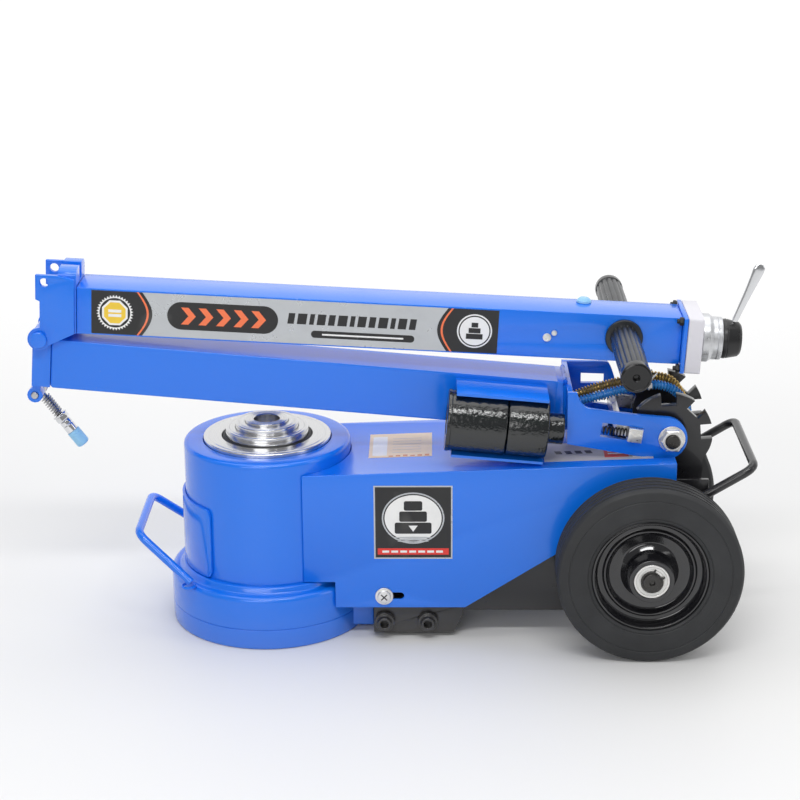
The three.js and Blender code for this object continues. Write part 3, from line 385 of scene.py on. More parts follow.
def to_object(name, bm, looks, place):
    """A bmesh in millimetres as an object in metres, placed by a matrix."""
    if place:
        bm.transform(place)
    bm.transform(Matrix.Scale(MM, 4))
    mesh = bpy.data.meshes.new(name)
    bm.to_mesh(mesh)
    bm.free()
    for look in looks:
        mesh.materials.append(MAT[look])
    obj = bpy.data.objects.new(name, mesh)
    SCENE.collection.objects.link(obj)
    return obj


def piece(name, bm, look, body, stands_for=(), bevel=0.0, place=None):
    """A finished object that rides on a body and can take the place of CAD nodes."""
    bmesh.ops.remove_doubles(bm, verts=bm.verts, dist=SAME_POINT)
    bmesh.ops.recalc_face_normals(bm, faces=bm.faces)
    obj = to_object(name, bm, [look], place)
    finish_mesh(obj, bevel)
    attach(obj, body)
    if stands_for:
        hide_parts(*stands_for)
    return obj


def grid(bm, rings, closed_ring=True, closed_loop=False, caps=False):
    """Quads between rings of points, each ring a list of the same length."""
    rows = [[bm.verts.new(p) for p in ring] for ring in rings]
    count = len(rows[0])
    pairs = list(zip(rows, rows[1:])) + ([(rows[-1], rows[0])] if closed_loop else [])
    for a, b in pairs:
        for i in range(count if closed_ring else count - 1):
            j = (i + 1) % count
            bm.faces.new((a[i], a[j], b[j], b[i]))
    if caps:
        bm.faces.new(rows[0])
        bm.faces.new(rows[-1])


def rounded(points, steps=5):
    """An outline with its corners rounded: each point is (x, y) or (x, y, radius)."""
    result = []
    count = len(points)
    for i, point in enumerate(points):
        here = Vector(point[:2])
        radius = point[2] if len(point) > 2 else 0
        if not radius:
            result.append(tuple(here))
            continue
        before = (Vector(points[i - 1][:2]) - here).normalized()
        after = (Vector(points[(i + 1) % count][:2]) - here).normalized()
        half = before.angle(after) / 2
        reach = radius / tan(half)
        centre = here + (before + after).normalized() * (radius / sin(half))
        start, end = here + before * reach - centre, here + after * reach - centre
        turn = start.angle_signed(end)
        for k in range(steps + 1):
            spin = Matrix.Rotation(-turn * k / steps, 2)
            result.append(tuple(centre + spin @ start))
    return result


def oval(cx, cy, rx, ry=None, n=48, turn=0.0):
    """The n points of an oval or a regular polygon, turned by a share of one step."""
    ry = ry or rx
    return [(cx + rx * cos(tau * (k + turn) / n), cy + ry * sin(tau * (k + turn) / n)) for k in range(n)]


def about(axis, c, s, h):
    """A point at height h along an axis, c and s across it."""
    return {"Z": (c, s, h), "Y": (c, h, s), "X": (h, c, s)}[axis]


def lathe(profile, segments=96, steps=5, axis="Z"):
    """A turned solid: a closed outline of (radius, height[, fillet]) points, about Z, Y or X."""
    outline = rounded(profile, steps)
    bm = bmesh.new()
    rings = []
    for r, h in outline:
        ring = []
        for i in range(segments):
            a = tau * i / segments
            ring.append(about(axis, max(r, 0) * cos(a), max(r, 0) * sin(a), h))
        rings.append(ring)
    grid(bm, rings, closed_loop=True)
    bmesh.ops.remove_doubles(bm, verts=bm.verts, dist=SAME_POINT)
    flat = [f for f in bm.faces if f.calc_area() < NO_AREA]
    bmesh.ops.delete(bm, geom=flat, context="FACES")
    return bm


def collar(inner, outer, h0, h1, segments, axis, fillet=0.4, steps=3):
    """A plain ring, or a rod when inner is 0, with its outer edges rounded."""
    return lathe([(inner, h0), (outer, h0, fillet), (outer, h1, fillet), (inner, h1)], segments, steps, axis)


def tube(path, radius, sides=14, swell=None):
    """A round tube along a list of points, with flat ends; swell varies the radius along it."""
    points = [Vector(p) for p in path]
    tangent = (points[1] - points[0]).normalized()
    side = tangent.orthogonal().normalized()
    bm = bmesh.new()
    rings = []
    for i, point in enumerate(points):
        ahead = points[min(i + 1, len(points) - 1)] - points[max(i - 1, 0)]
        ahead.normalize()
        side = (side - ahead * side.dot(ahead)).normalized()
        other = ahead.cross(side)
        r = radius * (swell(i / (len(points) - 1)) if swell else 1)
        rings.append([
            point + side * (r * cos(tau * k / sides)) + other * (r * sin(tau * k / sides))
            for k in range(sides)
        ])
    grid(bm, rings, caps=True)
    return bm


def bent(points, radius, steps=8):
    """A path through corner points with arcs of one radius at the corners."""
    corners = [Vector(p) for p in points]
    path = [corners[0]]
    for a, b, c in zip(corners, corners[1:], corners[2:]):
        before, after = (a - b).normalized(), (c - b).normalized()
        start, end = b + before * radius, b + after * radius
        for k in range(steps + 1):
            t = k / steps
            path.append(start * (1 - t) ** 2 + b * (2 * t * (1 - t)) + end * t ** 2)
    path.append(corners[-1])
    return path


def smooth_path(points, steps=8):
    """A Catmull-Rom curve through the points."""
    p = [Vector(q) for q in points]
    p = [p[0] * 2 - p[1]] + p + [p[-1] * 2 - p[-2]]
    path = []
    for a, b, c, d in zip(p, p[1:], p[2:], p[3:]):
        for k in range(steps):
            t = k / steps
            path.append(0.5 * (b * 2 + (c - a) * t + (a * 2 - b * 5 + c * 4 - d) * t * t
                               + (b * 3 - a - c * 3 + d) * t ** 3))
    path.append(p[-2])
    return path


def coil_along(path, radius, pitch, per_turn=12):
    """Points of a coil that winds round a path."""
    points = [Vector(q) for q in path]
    lengths = [0.0]
    for a, b in zip(points, points[1:]):
        lengths.append(lengths[-1] + (b - a).length)
    total = lengths[-1]
    count = int(total / pitch * per_turn)
    coil, at = [], 0
    side = (points[1] - points[0]).orthogonal().normalized()
    for i in range(count + 1):
        s = total * i / count
        while at < len(points) - 2 and lengths[at + 1] < s:
            at += 1
        t = (s - lengths[at]) / max(lengths[at + 1] - lengths[at], 1e-6)
        here = points[at].lerp(points[at + 1], t)
        ahead = (points[at + 1] - points[at]).normalized()
        side = (side - ahead * side.dot(ahead)).normalized()
        angle = tau * i / per_turn
        coil.append(here + (side * cos(angle) + ahead.cross(side) * sin(angle)) * radius)
    return coil


def hexagon(radius, x0, x1, axis="X"):
    """A hexagonal nut blank with chamfered corners, between x0 and x1 along an axis."""
    bm = bmesh.new()
    rings = []
    chamfer = min(1.2, abs(x1 - x0) / 4)
    step = chamfer if x1 > x0 else -chamfer
    for h, r in ((x0, radius * 0.9), (x0 + step, radius), (x1 - step, radius), (x1, radius * 0.9)):
        ring = []
        for k in range(6):
            ring.append(about(axis, r * cos(pi * k / 3), r * sin(pi * k / 3), h))
        rings.append(ring)
    grid(bm, rings, caps=True)
    return bm


def merged(*parts):
    """Several bmeshes as one."""
    result = bmesh.new()
    for bm in parts:
        scratch = bpy.data.meshes.new("scratch")
        bm.to_mesh(scratch)
        bm.free()
        result.from_mesh(scratch)
        bpy.data.meshes.remove(scratch)
    return result


def bead(path, radius):
    """A weld bead: overlapping ripples along a path."""
    count = len(path)
    return tube(path, radius, 8, lambda t: 1 + 0.16 * sin(t * count * 2.4) + 0.07 * sin(t * count * 5.1))


def block(x0, x1, y0, y1, z0, z1):
    bm = bmesh.new()
    grid(bm, [[(x0, y0, z), (x1, y0, z), (x1, y1, z), (x0, y1, z)] for z in (z0, z1)], caps=True)
    return bm


def mm(vector):
    return Vector(vector) / MM


def size_of(node):
    """A CAD node's box in millimetres."""
    low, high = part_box(node)
    return mm(low), mm(high)


def middle(node):
    low, high = size_of(node)
    return (low + high) / 2


def arm_place(origin, along):
    """The frame of a tilted arm: x along it, y across, z above it."""
    x = Vector(along).normalized()
    y = Vector((0, 1, 0))
    turn = Matrix((x, y, x.cross(y))).transposed().to_4x4()
    return Matrix.Translation(origin) @ turn


FOLD = mm(JOINTS["handle_unfold"]["pos_m"])
PIVOT = mm(JOINTS["handle_raise"]["pos_m"])
LATCH = mm(JOINTS["latch_swing"]["pos_m"])
LOWER = arm_place(FOLD, -Vector(JOINTS["adapters_slide_out"]["axis"]))
UPPER = arm_place(FOLD, JOINTS["valve_turn"]["axis"])
SIDES = (("left", -1), ("right", 1))


# --- base, cylinder and rams
RAM_1_R, RAM_2_R, SADDLE_R, SOCKET_R = 46, 35, 24, 14.5
BAND_CORNER, BAND_HALF_ANGLE = 7, radians(52)


def build_lift():
    _, base_high = size_of("base_casting")
    base_r = base_high.y
    cyl_low, cyl_high = size_of("cylinder_tube")
    cyl_r, cyl_top = cyl_high.y, cyl_high.z
    ledge = base_high.z - 7
    piece("base", lathe([
        (0, 0), (base_r - 0.2, 0, 2), (base_r, 22.2), (base_r - 0.9, 23), (base_r, 23.8),
        (base_r, ledge, 6), (cyl_r + 8, ledge, 4), (cyl_r + 5.5, base_high.z, 3), (cyl_r + 0.4, base_high.z),
        (cyl_r + 0.4, cyl_low.z - 0.4), (0, cyl_low.z - 0.4),
    ], 160), "blue", "chassis", ["base_casting"])
    block_low, _ = size_of("pump_block")
    piece("base_tongue", block(
        base_r - 22, base_high.x, -58, 58, block_low.z, 38,
    ), "blue", "chassis", bevel=1.6)

    gland_low, gland_high = size_of("gland_ring")
    gland_r = gland_high.y
    piece("cylinder", lathe([
        (0, cyl_low.z), (cyl_r, cyl_low.z), (cyl_r, cyl_top, 4.5), (gland_r + 0.9, cyl_top, 0.5),
        (gland_r + 0.4, cyl_top - 40), (gland_r + 0.4, cyl_low.z + 10), (0, cyl_low.z + 10),
    ], 160), "blue", "chassis", ["cylinder_tube"])

    seal_r = RAM_1_R + 4
    piece("gland", lathe([
        (seal_r, gland_low.z), (gland_r, gland_low.z), (gland_r, gland_high.z, 1.4),
        (gland_r - 5.5, gland_high.z, 0.2), (gland_r - 6, gland_high.z - 0.5, 0.2),
        (gland_r - 6.5, gland_high.z, 0.2), (seal_r + 1, gland_high.z, 0.9), (seal_r, gland_high.z - 2, 0.4),
    ], 160), "ground", "chassis", ["gland_ring"])
    piece("wiper", lathe([
        (RAM_1_R + 0.3, gland_high.z - 6), (seal_r - 0.3, gland_high.z - 6),
        (seal_r - 0.3, gland_high.z - 1.4, 0.5),
        (RAM_1_R + 1.6, gland_high.z - 0.8, 0.5), (RAM_1_R + 0.3, gland_high.z + 0.8, 0.3),
    ], 120), "seal", "chassis", ["wiper_seal"])
    for name, body, node, r, bore in (
        ("ram_outer", "ram_1", "ram_stage_1", RAM_1_R, RAM_2_R),
        ("ram_middle", "ram_2", "ram_stage_2", RAM_2_R, SADDLE_R),
    ):
        low, high = size_of(node)
        foot, top, head = low.z, high.z, high.y
        groove = (r + bore) / 2 + 1.5
        piece(name, lathe([
            (0, foot), (head, foot, 1), (head, foot + 16, 1), (r, foot + 16, 0.6), (r, top - 5.4),
            (r - 0.7, top - 5), (r - 0.7, top - 4), (r, top - 3.6), (r, top, 1.2), (groove + 0.8, top, 0.2),
            (groove, top - 0.9, 0.3), (groove - 0.8, top, 0.2), (bore + 0.3, top, 0.8),
            (bore + 0.3, top - 14), (bore + 3, top - 15), (bore + 3, foot + 8), (0, foot + 8),
        ], 144), "ground", body, [node])
    low, high = size_of("saddle")
    foot, top, head = low.z, high.z, high.y
    face = [(SADDLE_R - 1.6 - 2.4 * k - d, top - (0.7 if d == 0.8 else 0), 0.12)
            for k in range(3) for d in (0, 0.8, 1.6)]
    piece("saddle_post", lathe([
        (0, foot), (head, foot, 1), (head, foot + 16, 1), (SADDLE_R, foot + 16, 0.6), (SADDLE_R, top, 1.2),
        *face,
        (SOCKET_R + 1, top, 0.3), (SOCKET_R, top - 1, 0.3), (SOCKET_R, top - 16, 1), (4, top - 16, 0.5),
        (3, top - 19), (0, top - 19),
    ], 128), "ground", "saddle", ["saddle"])

    # Band: a quarter shell with rounded corners on the cylinder's front.
    band_low, band_high = size_of("cylinder_band")
    bm = bmesh.new()
    half = BAND_HALF_ANGLE * cyl_r
    columns = 60
    rows = []
    for i in range(columns + 1):
        s = -half + 2 * half * i / columns
        inset = max(0.0, BAND_CORNER - (half - abs(s)))
        cut_in = BAND_CORNER - sqrt(max(0.0, BAND_CORNER ** 2 - inset * inset))
        a = pi + s / cyl_r
        z0, z1 = band_low.z + cut_in, band_high.z - cut_in
        inner, outer = cyl_r + 0.3, cyl_r + 3.8
        rows.append([(r * cos(a), r * sin(a), z) for r, z in
                     ((inner, z0), (outer, z0), (outer, z1), (inner, z1))])
    grid(bm, rows, caps=True)
    piece("front_band", bm, "blue", "chassis", ["cylinder_band"], bevel=0.9)


def build_carry_handles():
    low, high = size_of("front_handle")
    crossbar_x, top_z = low.x + 4.8, high.z - 4.8
    foot, corner_y = Vector((-82, 80, low.z + 3.6)), 59
    path = bent([
        (foot.x, -foot.y, foot.z), (crossbar_x, -corner_y, top_z), (crossbar_x, corner_y, top_z), foot,
    ], 13)
    piece("front_carry_handle", tube(path, 4.7, 20), "blue", "chassis", ["front_handle"])
    for side, s in SIDES:
        weld = [(foot.x - 3 + 7 * cos(a), s * foot.y + 7 * sin(a), foot.z - 4.2)
                for a in [tau * k / 40 for k in range(41)]]
        piece(f"front_weld_{side}", bead(weld, 1.5), "blue", "chassis")
    low, high = size_of("rear_handle")
    y = high.y - 5
    path = bent([
        (low.x + 4, -y, 158), (high.x - 5, -y, 200), (high.x - 5, y, 200), (low.x + 4, y, 158),
    ], 14)
    piece("rear_carry_handle", tube(path, 4.9, 20), "black", "chassis", ["rear_handle"])


# --- wheels and axle
def build_wheels():
    for side, s in SIDES:
        body = f"wheel_{side}"
        hub = mm(JOINTS[f"{body}_spin"]["pos_m"])
        low, high = size_of(f"tyre_{side}")
        r, half = (high.z - low.z) / 2, (high.y - low.y) / 2
        place = Matrix.Translation(hub) @ Matrix.Rotation(0 if s > 0 else pi, 4, "X")
        bead_r = 62.9
        tread = []
        for y in (-13.5, -4.5, 4.5, 13.5):
            tread += [(r, y - 1.9, 0.5), (r - 2.6, y - 1.2, 0.5), (r - 2.6, y + 1.2, 0.5), (r, y + 1.9, 0.5)]
        profile = [
            (bead_r, -half + 5, 1), (bead_r + 6, -half + 1.4, 1.5), (r - 20, -half + 0.2, 4),
            (r - 3, -half + 1.5, 2.5), (r, -half + 6, 3), *tread, (r, half - 6, 3), (r - 3, half - 1.5, 2.5),
            (r - 12, half - 0.2, 1), (r - 13, half - 0.9, 0.4), (r - 14, half - 0.2, 0.4),
            (bead_r + 12, half - 0.4, 4),
            (bead_r + 4.5, half - 1.2, 1), (bead_r + 3.6, half - 2.4, 0.5), (bead_r + 2.6, half - 1.6, 0.5),
            (bead_r, half - 3, 1),
        ]
        piece(f"{body}_tyre", lathe(profile, 160, 4, "Y"), "tyre", body, [f"tyre_{side}"], place=place)
        rim_r, hub_end = 62.4, 32
        piece(f"{body}_rim", lathe([
            (13, -20), (24, -20, 1), (24, 0, 3), (47, 2, 4), (55, 0, 3), (58, -17, 2), (rim_r, -18, 1),
            (rim_r, 18.6, 1), (60, 19.2, 0.8), (58.6, 17, 1), (57, 8, 4), (50.5, 7.5, 1.5), (49, 10.5, 1),
            (47, 10.5, 1), (44, 4.5, 4), (32, 3.5, 5), (25.5, 9, 4), (24, hub_end, 1.4), (19.5, hub_end, 0.5),
            (19.4, hub_end - 12.4), (13, hub_end - 12.4),
        ], 128, 5, "Y"), "rim", body, [f"rim_{side}"], place=place)
        piece(f"{body}_bearing", lathe([
            (10.3, 20), (19, 20), (19, hub_end, 0.6), (16.8, hub_end, 0.3), (16.4, hub_end - 0.9, 0.2),
            (13.4, hub_end - 0.9, 0.2), (13, hub_end, 0.3), (10.3, hub_end, 0.5),
        ], 96, 4, "Y"), "zinc", body, [f"wheel_bearing_{side}"], place=place)
        piece(f"{body}_shield", lathe([
            (13.5, hub_end - 0.85), (16.3, hub_end - 0.85),
            (16.3, hub_end - 0.5, 0.1), (13.5, hub_end - 0.5, 0.1),
        ], 96, 3, "Y"), "tie", body, place=place)
        clip = circlip(10.2, 12.2, hub_end + 0.5, hub_end + 1.9)
        piece(f"{body}_clip", clip, "dark_steel", "chassis", place=place)
    low, high = size_of("axle")
    centre = mm(JOINTS["wheel_left_spin"]["pos_m"])
    r, end = (high.z - low.z) / 2, high.y
    piece("axle_shaft", lathe([
        (0, 2 - end), (2.2, 2 - end), (3.2, -end, 0.4), (r, -end, 1.2),
        (r, end, 1.2), (3.2, end, 0.4), (2.2, end - 2), (0, end - 2),
    ], 64, 4, "Y"), "dark_steel", "chassis", ["axle"], place=at(centre.x, 0, centre.z))


def circlip(inner, outer, y0, y1):
    """An external snap ring: an open ring with two ears."""
    bm = bmesh.new()
    rows = []
    steps, opening = 56, radians(24)
    for k in range(steps + 1):
        t = k / steps
        a = radians(-50) + opening + t * (tau - 2 * opening)
        r = outer + (2.6 if min(t, 1 - t) < 0.035 else 0.0)
        rows.append([(q * cos(a), y, q * sin(a)) for q, y in
                     ((inner, y0), (r, y0), (r, y1), (inner, y1))])
    grid(bm, rows, caps=True)
    return bm


# --- fork, lock and hoses
def build_fork():
    face = size_of("fork_cheek_right")[1].y
    hub = Matrix.Translation(PIVOT)
    piece("pivot_shaft", lathe([
        (0, -face - 12.5), (7.8, -face - 12.5, 1.6), (7.8, face + 4, 0.5), (0, face + 4),
    ], 48, 4, "Y"), "dark_steel", "lower_handle", ["pivot_bolt"], place=hub)
    piece("pivot_bolt_head", merged(
        hexagon(13, face + 2.6, face + 9, "Y"),
        collar(9, 14, face + 0.4, face + 2.5, 48, "Y"),
    ), "zinc", "lower_handle", place=hub)
    piece("pivot_locknut", merged(
        collar(8.4, 14.5, -face - 0.4, -face - 2, 48, "Y"),
        hexagon(13.8, -face - 9.4, -face - 2.1, "Y"),
        lathe([
            (8.2, -face - 9.4), (11.4, -face - 9.4), (11.4, -face - 11, 1.2), (8.4, -face - 11, 0.4),
        ], 48, 4, "Y"),
    ), "zinc", "lower_handle", ["pivot_nut"], place=hub)

    # Welded collar: closes the joint between the lower arm's slanted end and the web.
    web = size_of("fork_web")[0].x + 0.4
    tilt = atan2(LOWER[2][0], LOWER[0][0])
    half, top, wall = 28, -1, 4
    end = (size_of("lower_arm")[1].x - FOLD.x) / cos(tilt) - 3

    def at_web(v):
        return (web - FOLD.x - v * LOWER[0][2]) / LOWER[0][0]

    bm = bmesh.new()
    rings = []
    for y, v in ((-half, top - 55), (half, top - 55), (half, top), (-half, top)):
        y1, v1 = y - copysign(wall, y), v + (wall if v < top else -wall)
        rings.append([(end, y, v), (at_web(v), y, v), (at_web(v1), y1, v1), (end, y1, v1)])
    grid(bm, rings, closed_loop=True)
    piece("arm_collar", bm, "blue", "lower_handle", place=LOWER, bevel=0.6)
    seam = bent([(at_web(v) - 1.2, y, v) for y, v in ((-half - 0.6, top - 50), (-half - 0.6, top + 0.4),
                                                      (half + 0.6, top + 0.4), (half + 0.6, top - 50))], 4)
    seam = [p for a, b in zip(seam, seam[1:]) for p in [a.lerp(b, k / 6) for k in range(6)]]
    piece("arm_weld", bead(seam, 2.1), "blue", "lower_handle", place=LOWER)

    for side, _ in SIDES:
        centre = middle(f"lock_spring_{side}")
        along = Vector(JOINTS["lock_pull"]["axis"]).normalized()
        start, end = centre - along * 13.2, centre + along * 13.2
        coil = coil_along([start, end], 4.2, 3.6, 16)
        obj = piece(f"lock_coil_{side}", tube(coil, 0.85, 10), "dark_steel", "lower_handle",
                    [f"lock_spring_{side}"])
        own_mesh(obj)

    # Hoses over the pivot: a core and a close spiral guard, held together by a cable tie.
    web_x = size_of("fork_web")[1].x
    bar_top = size_of("sector_cross_bar")[1].z
    hose_x = PIVOT.x + 24
    for side, y, lift, look, guard in (("left", -9, -3, "hose_blue", "hose_blue"),
                                       ("right", 9, 1, "hose_bronze", "brass")):
        points = [
            (web_x + 3, y, PIVOT.z + 25 + lift / 3), (web_x + 25, y, PIVOT.z + 33 + lift),
            (PIVOT.x - 50, y, PIVOT.z + 42 + lift), (PIVOT.x - 20, y, PIVOT.z + 48 + lift),
            (PIVOT.x + 4, y, PIVOT.z + 43 + lift), (hose_x - 6, y, PIVOT.z + 25),
            (hose_x, y, PIVOT.z + 4), (hose_x, y, bar_top + 0.4),
        ]
        path = smooth_path(points, 10)
        wire = tube(coil_along(path, 4.6, 3.4, 14), 0.95, 8)
        for part, bm in (("core", tube(path, 3.7, 16)), ("guard", wire)):
            obj = piece(f"hose_{part}_{side}", bm, look if part == "core" else guard, "lower_handle",
                        [f"hose_{side}"] if part == "core" else ())
            obj.parent = None
            obj.matrix_world = Matrix.Identity(4)
            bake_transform(obj)
        piece(f"hose_ferrule_{side}", lathe([
            (3.8, 0), (6.6, 0), (6.6, 4), (5.6, 5, 0.4), (5.6, 12, 0.8), (3.8, 12, 0.3),
        ], 40, 3), "zinc", "chassis", place=at(hose_x, y, bar_top + 0.3))
    tie_x, tie_z = PIVOT.x - 21, PIVOT.z + 47
    loop = rounded([(-16, -7, 5), (16, -7, 5), (16, 6, 5), (-16, 6, 5)], 6)
    tie = [(tie_x, y, tie_z + z) for y, z in loop]
    tail = smooth_path([(tie_x, -17, tie_z), (tie_x + 2, -20, tie_z + 8), (tie_x + 7, -22, tie_z + 15)], 8)
    piece("cable_tie", merged(
        tube(tie + [tie[0]], 1.1, 8),
        block(tie_x - 2.6, tie_x + 2.6, -19.6, -15.4, tie_z - 3, tie_z + 2), tube(tail, 0.9, 6),
    ), "tie", "lower_handle")


# --- hinge end and latch
def build_hinge():
    lug_y = size_of("hinge_bracket")[1].y
    hub = Matrix.Translation(FOLD)
    piece("fold_shaft", lathe([
        (0, -lug_y - 5.5), (9, -lug_y - 5.5, 1.2), (9, -lug_y - 0.4, 0.4), (5.9, -lug_y - 0.4),
        (5.9, lug_y + 4, 0.8), (0, lug_y + 4),
    ], 56, 4, "Y"), "blue", "lower_handle", ["fold_pin"], place=hub)
    piece("latch_shaft", collar(0, 3.9, -24, 24, 40, "Y", 0.8, 4), "steel", "lower_handle",
          ["latch_pin"], place=Matrix.Translation(LATCH))
    along = middle("latch_sleeve") - LATCH
    along.y = 0
    latch = arm_place(LATCH, along)
    stud_r, nut_x, end_x = 3.5, 38, 80
    threads, pitch, x = [], 1.25, 30.0
    while x < end_x - 12:
        threads += [(stud_r - 0.35, x), (stud_r + 0.1, x + pitch / 2)]
        x += pitch
    piece("latch_eye", merged(
        lathe([(4.3, -6, 0.6), (8.2, -6, 1.2), (8.2, 6, 1.2), (4.3, 6, 0.6)], 56, 4, "Y"),
        lathe([(0, 6), (stud_r, 6), *threads, (stud_r - 0.6, end_x - 11), (0, end_x - 11)], 28, 2, "X"),
    ), "steel", "latch", ["latch_bolt"], place=latch)
    coil = coil_along([(11.5, 0, 0), (nut_x - 3, 0, 0)], stud_r + 1.9, 3.0, 16)
    piece("latch_coil", tube(coil, 0.8, 10), "steel", "latch", ["latch_spring"], place=latch)
    piece("latch_nut_body", merged(
        hexagon(7.9, nut_x + 0.6, nut_x + 7),
        collar(3.9, 8.5, nut_x - 1.9, nut_x + 0.3, 40, "X"),
    ), "chrome", "latch", ["latch_nut"], place=latch)
    piece("latch_tube", lathe([
        (3.9, nut_x + 7.5), (6.6, nut_x + 7.5, 0.8), (6.9, nut_x + 12, 0.5), (6.2, nut_x + 13, 0.4),
        (6.9, nut_x + 14, 0.5), (6.9, 60, 0.3), (3.9, 60),
    ], 48, 4, "X"), "chrome", "latch", place=latch)
    piece("latch_cap", lathe([
        (3.9, 60.2), (7.5, 60.2, 0.7), (7.5, 64, 0.3), (7.1, 64.6, 0.2), (7.5, 65.2, 0.3), (7.5, end_x, 3),
        (0, end_x), (0, end_x - 10), (3.9, end_x - 10),
    ], 48, 5, "X"), "cap", "latch", ["latch_sleeve"], place=latch)


# --- adapters
def build_adapters():
    r, flange_r, peg_r = 33, 33.6, 16.6
    long_l, short_l, peg_l = 65, 44, 18
    arm_half, wall, play = 28.4, 3, 1
    place = LOWER @ at(446.5, -(arm_half + wall + play + r), -42)
    piece("adapter_tall", lathe([
        (0, 21), (peg_r + 1, 21), (peg_r + 1, 0, 1), (flange_r, 0, 1.4), (flange_r, 4, 1.2), (r, 4.6, 1),
        (r, long_l - 0.6, 2), (peg_r + 1, long_l - 0.6, 1), (peg_r + 1, long_l - 21), (0, long_l - 21),
    ], 128, 5, "X"), "cast", "adapters", ["adapter_long"], place=place)
    start, end = long_l, long_l + short_l
    piece("adapter_low", lathe([
        (0, start - 16), (peg_r, start - 16, 1.5), (peg_r, start, 0.5), (r, start, 2), (r, end, 2.4),
        (peg_r, end, 1.5), (peg_r, end + peg_l, 1.8), (0, end + peg_l),
    ], 128, 5, "X"), "cast", "adapters", ["adapter_short"], place=place)


# --- upper handle
GRIP_U, GRIP_V, FLUTES = 632, 34.5, 15
ARM_END, VALVE_V, GAP = 694, 30.5, 0.4
FLANGE_THICKNESS, BLOCK_THICKNESS, BODY_LENGTH = 4.6, 17, 24


def fluted_grip(side, s):
    """A ribbed rubber grip with a flange at the arm and a plain end cap with a vent hole."""
    start, end = 28.6, 158
    sections = [(start, 19.6, 0), (start + 0.6, 20.2, 0), (start + 3.4, 20.2, 0), (start + 4.4, 19.4, 0),
                (start + 5.2, 15.4, 0), (start + 7, 15.2, 1)]
    steps = 30
    body_end = end - 1
    for k in range(1, steps + 1):
        y = start + 7 + (body_end - start - 7) * k / steps
        sections.append((y, 15.4 + 0.35 * sin(pi * k / steps), 1))
    sections += [(end, 15.2, 0), (end, 0.01, 0)]
    around = FLUTES * 8
    bm = bmesh.new()
    rings = []
    for y, radius, ribbed in sections:
        ring = []
        for i in range(around):
            a = tau * i / around
            wave = 0.5 + 0.5 * cos(FLUTES * a)
            q = radius - (1.5 * (1 - wave ** 0.4) if ribbed else 0)
            ring.append((GRIP_U + q * cos(a), s * y, GRIP_V + q * sin(a)))
        rings.append(ring)
    inner = [(x, s * start, z) for x, z in oval(GRIP_U, GRIP_V, 10.6, n=around)]
    grid(bm, [inner] + rings)
    bm.faces.new(list(bm.verts)[:around])
    piece(f"ribbed_grip_{side}", bm, "grip", "upper_handle", [f"grip_{side}"], place=UPPER)
    cap_end = size_of(f"grip_{side}")[1].y if s > 0 else -size_of(f"grip_{side}")[0].y
    piece(f"grip_cap_{side}", lathe([
        (0, s * (end + 0.2)), (15.6, s * (end + 0.2), 0.6), (16, s * (end + 2), 0.6),
        (16, s * (cap_end - 1), 1.8),
        (13.6, s * cap_end, 0.6), (12.8, s * (cap_end - 0.6), 0.4), (4.2, s * (cap_end - 0.6), 0.6),
        (3, s * (cap_end - 2), 0.4), (3, s * (cap_end - 6)), (0, s * (cap_end - 6)),
    ], 72, 5, "Y"), "grip_end", "upper_handle", place=UPPER @ at(GRIP_U, 0, GRIP_V))


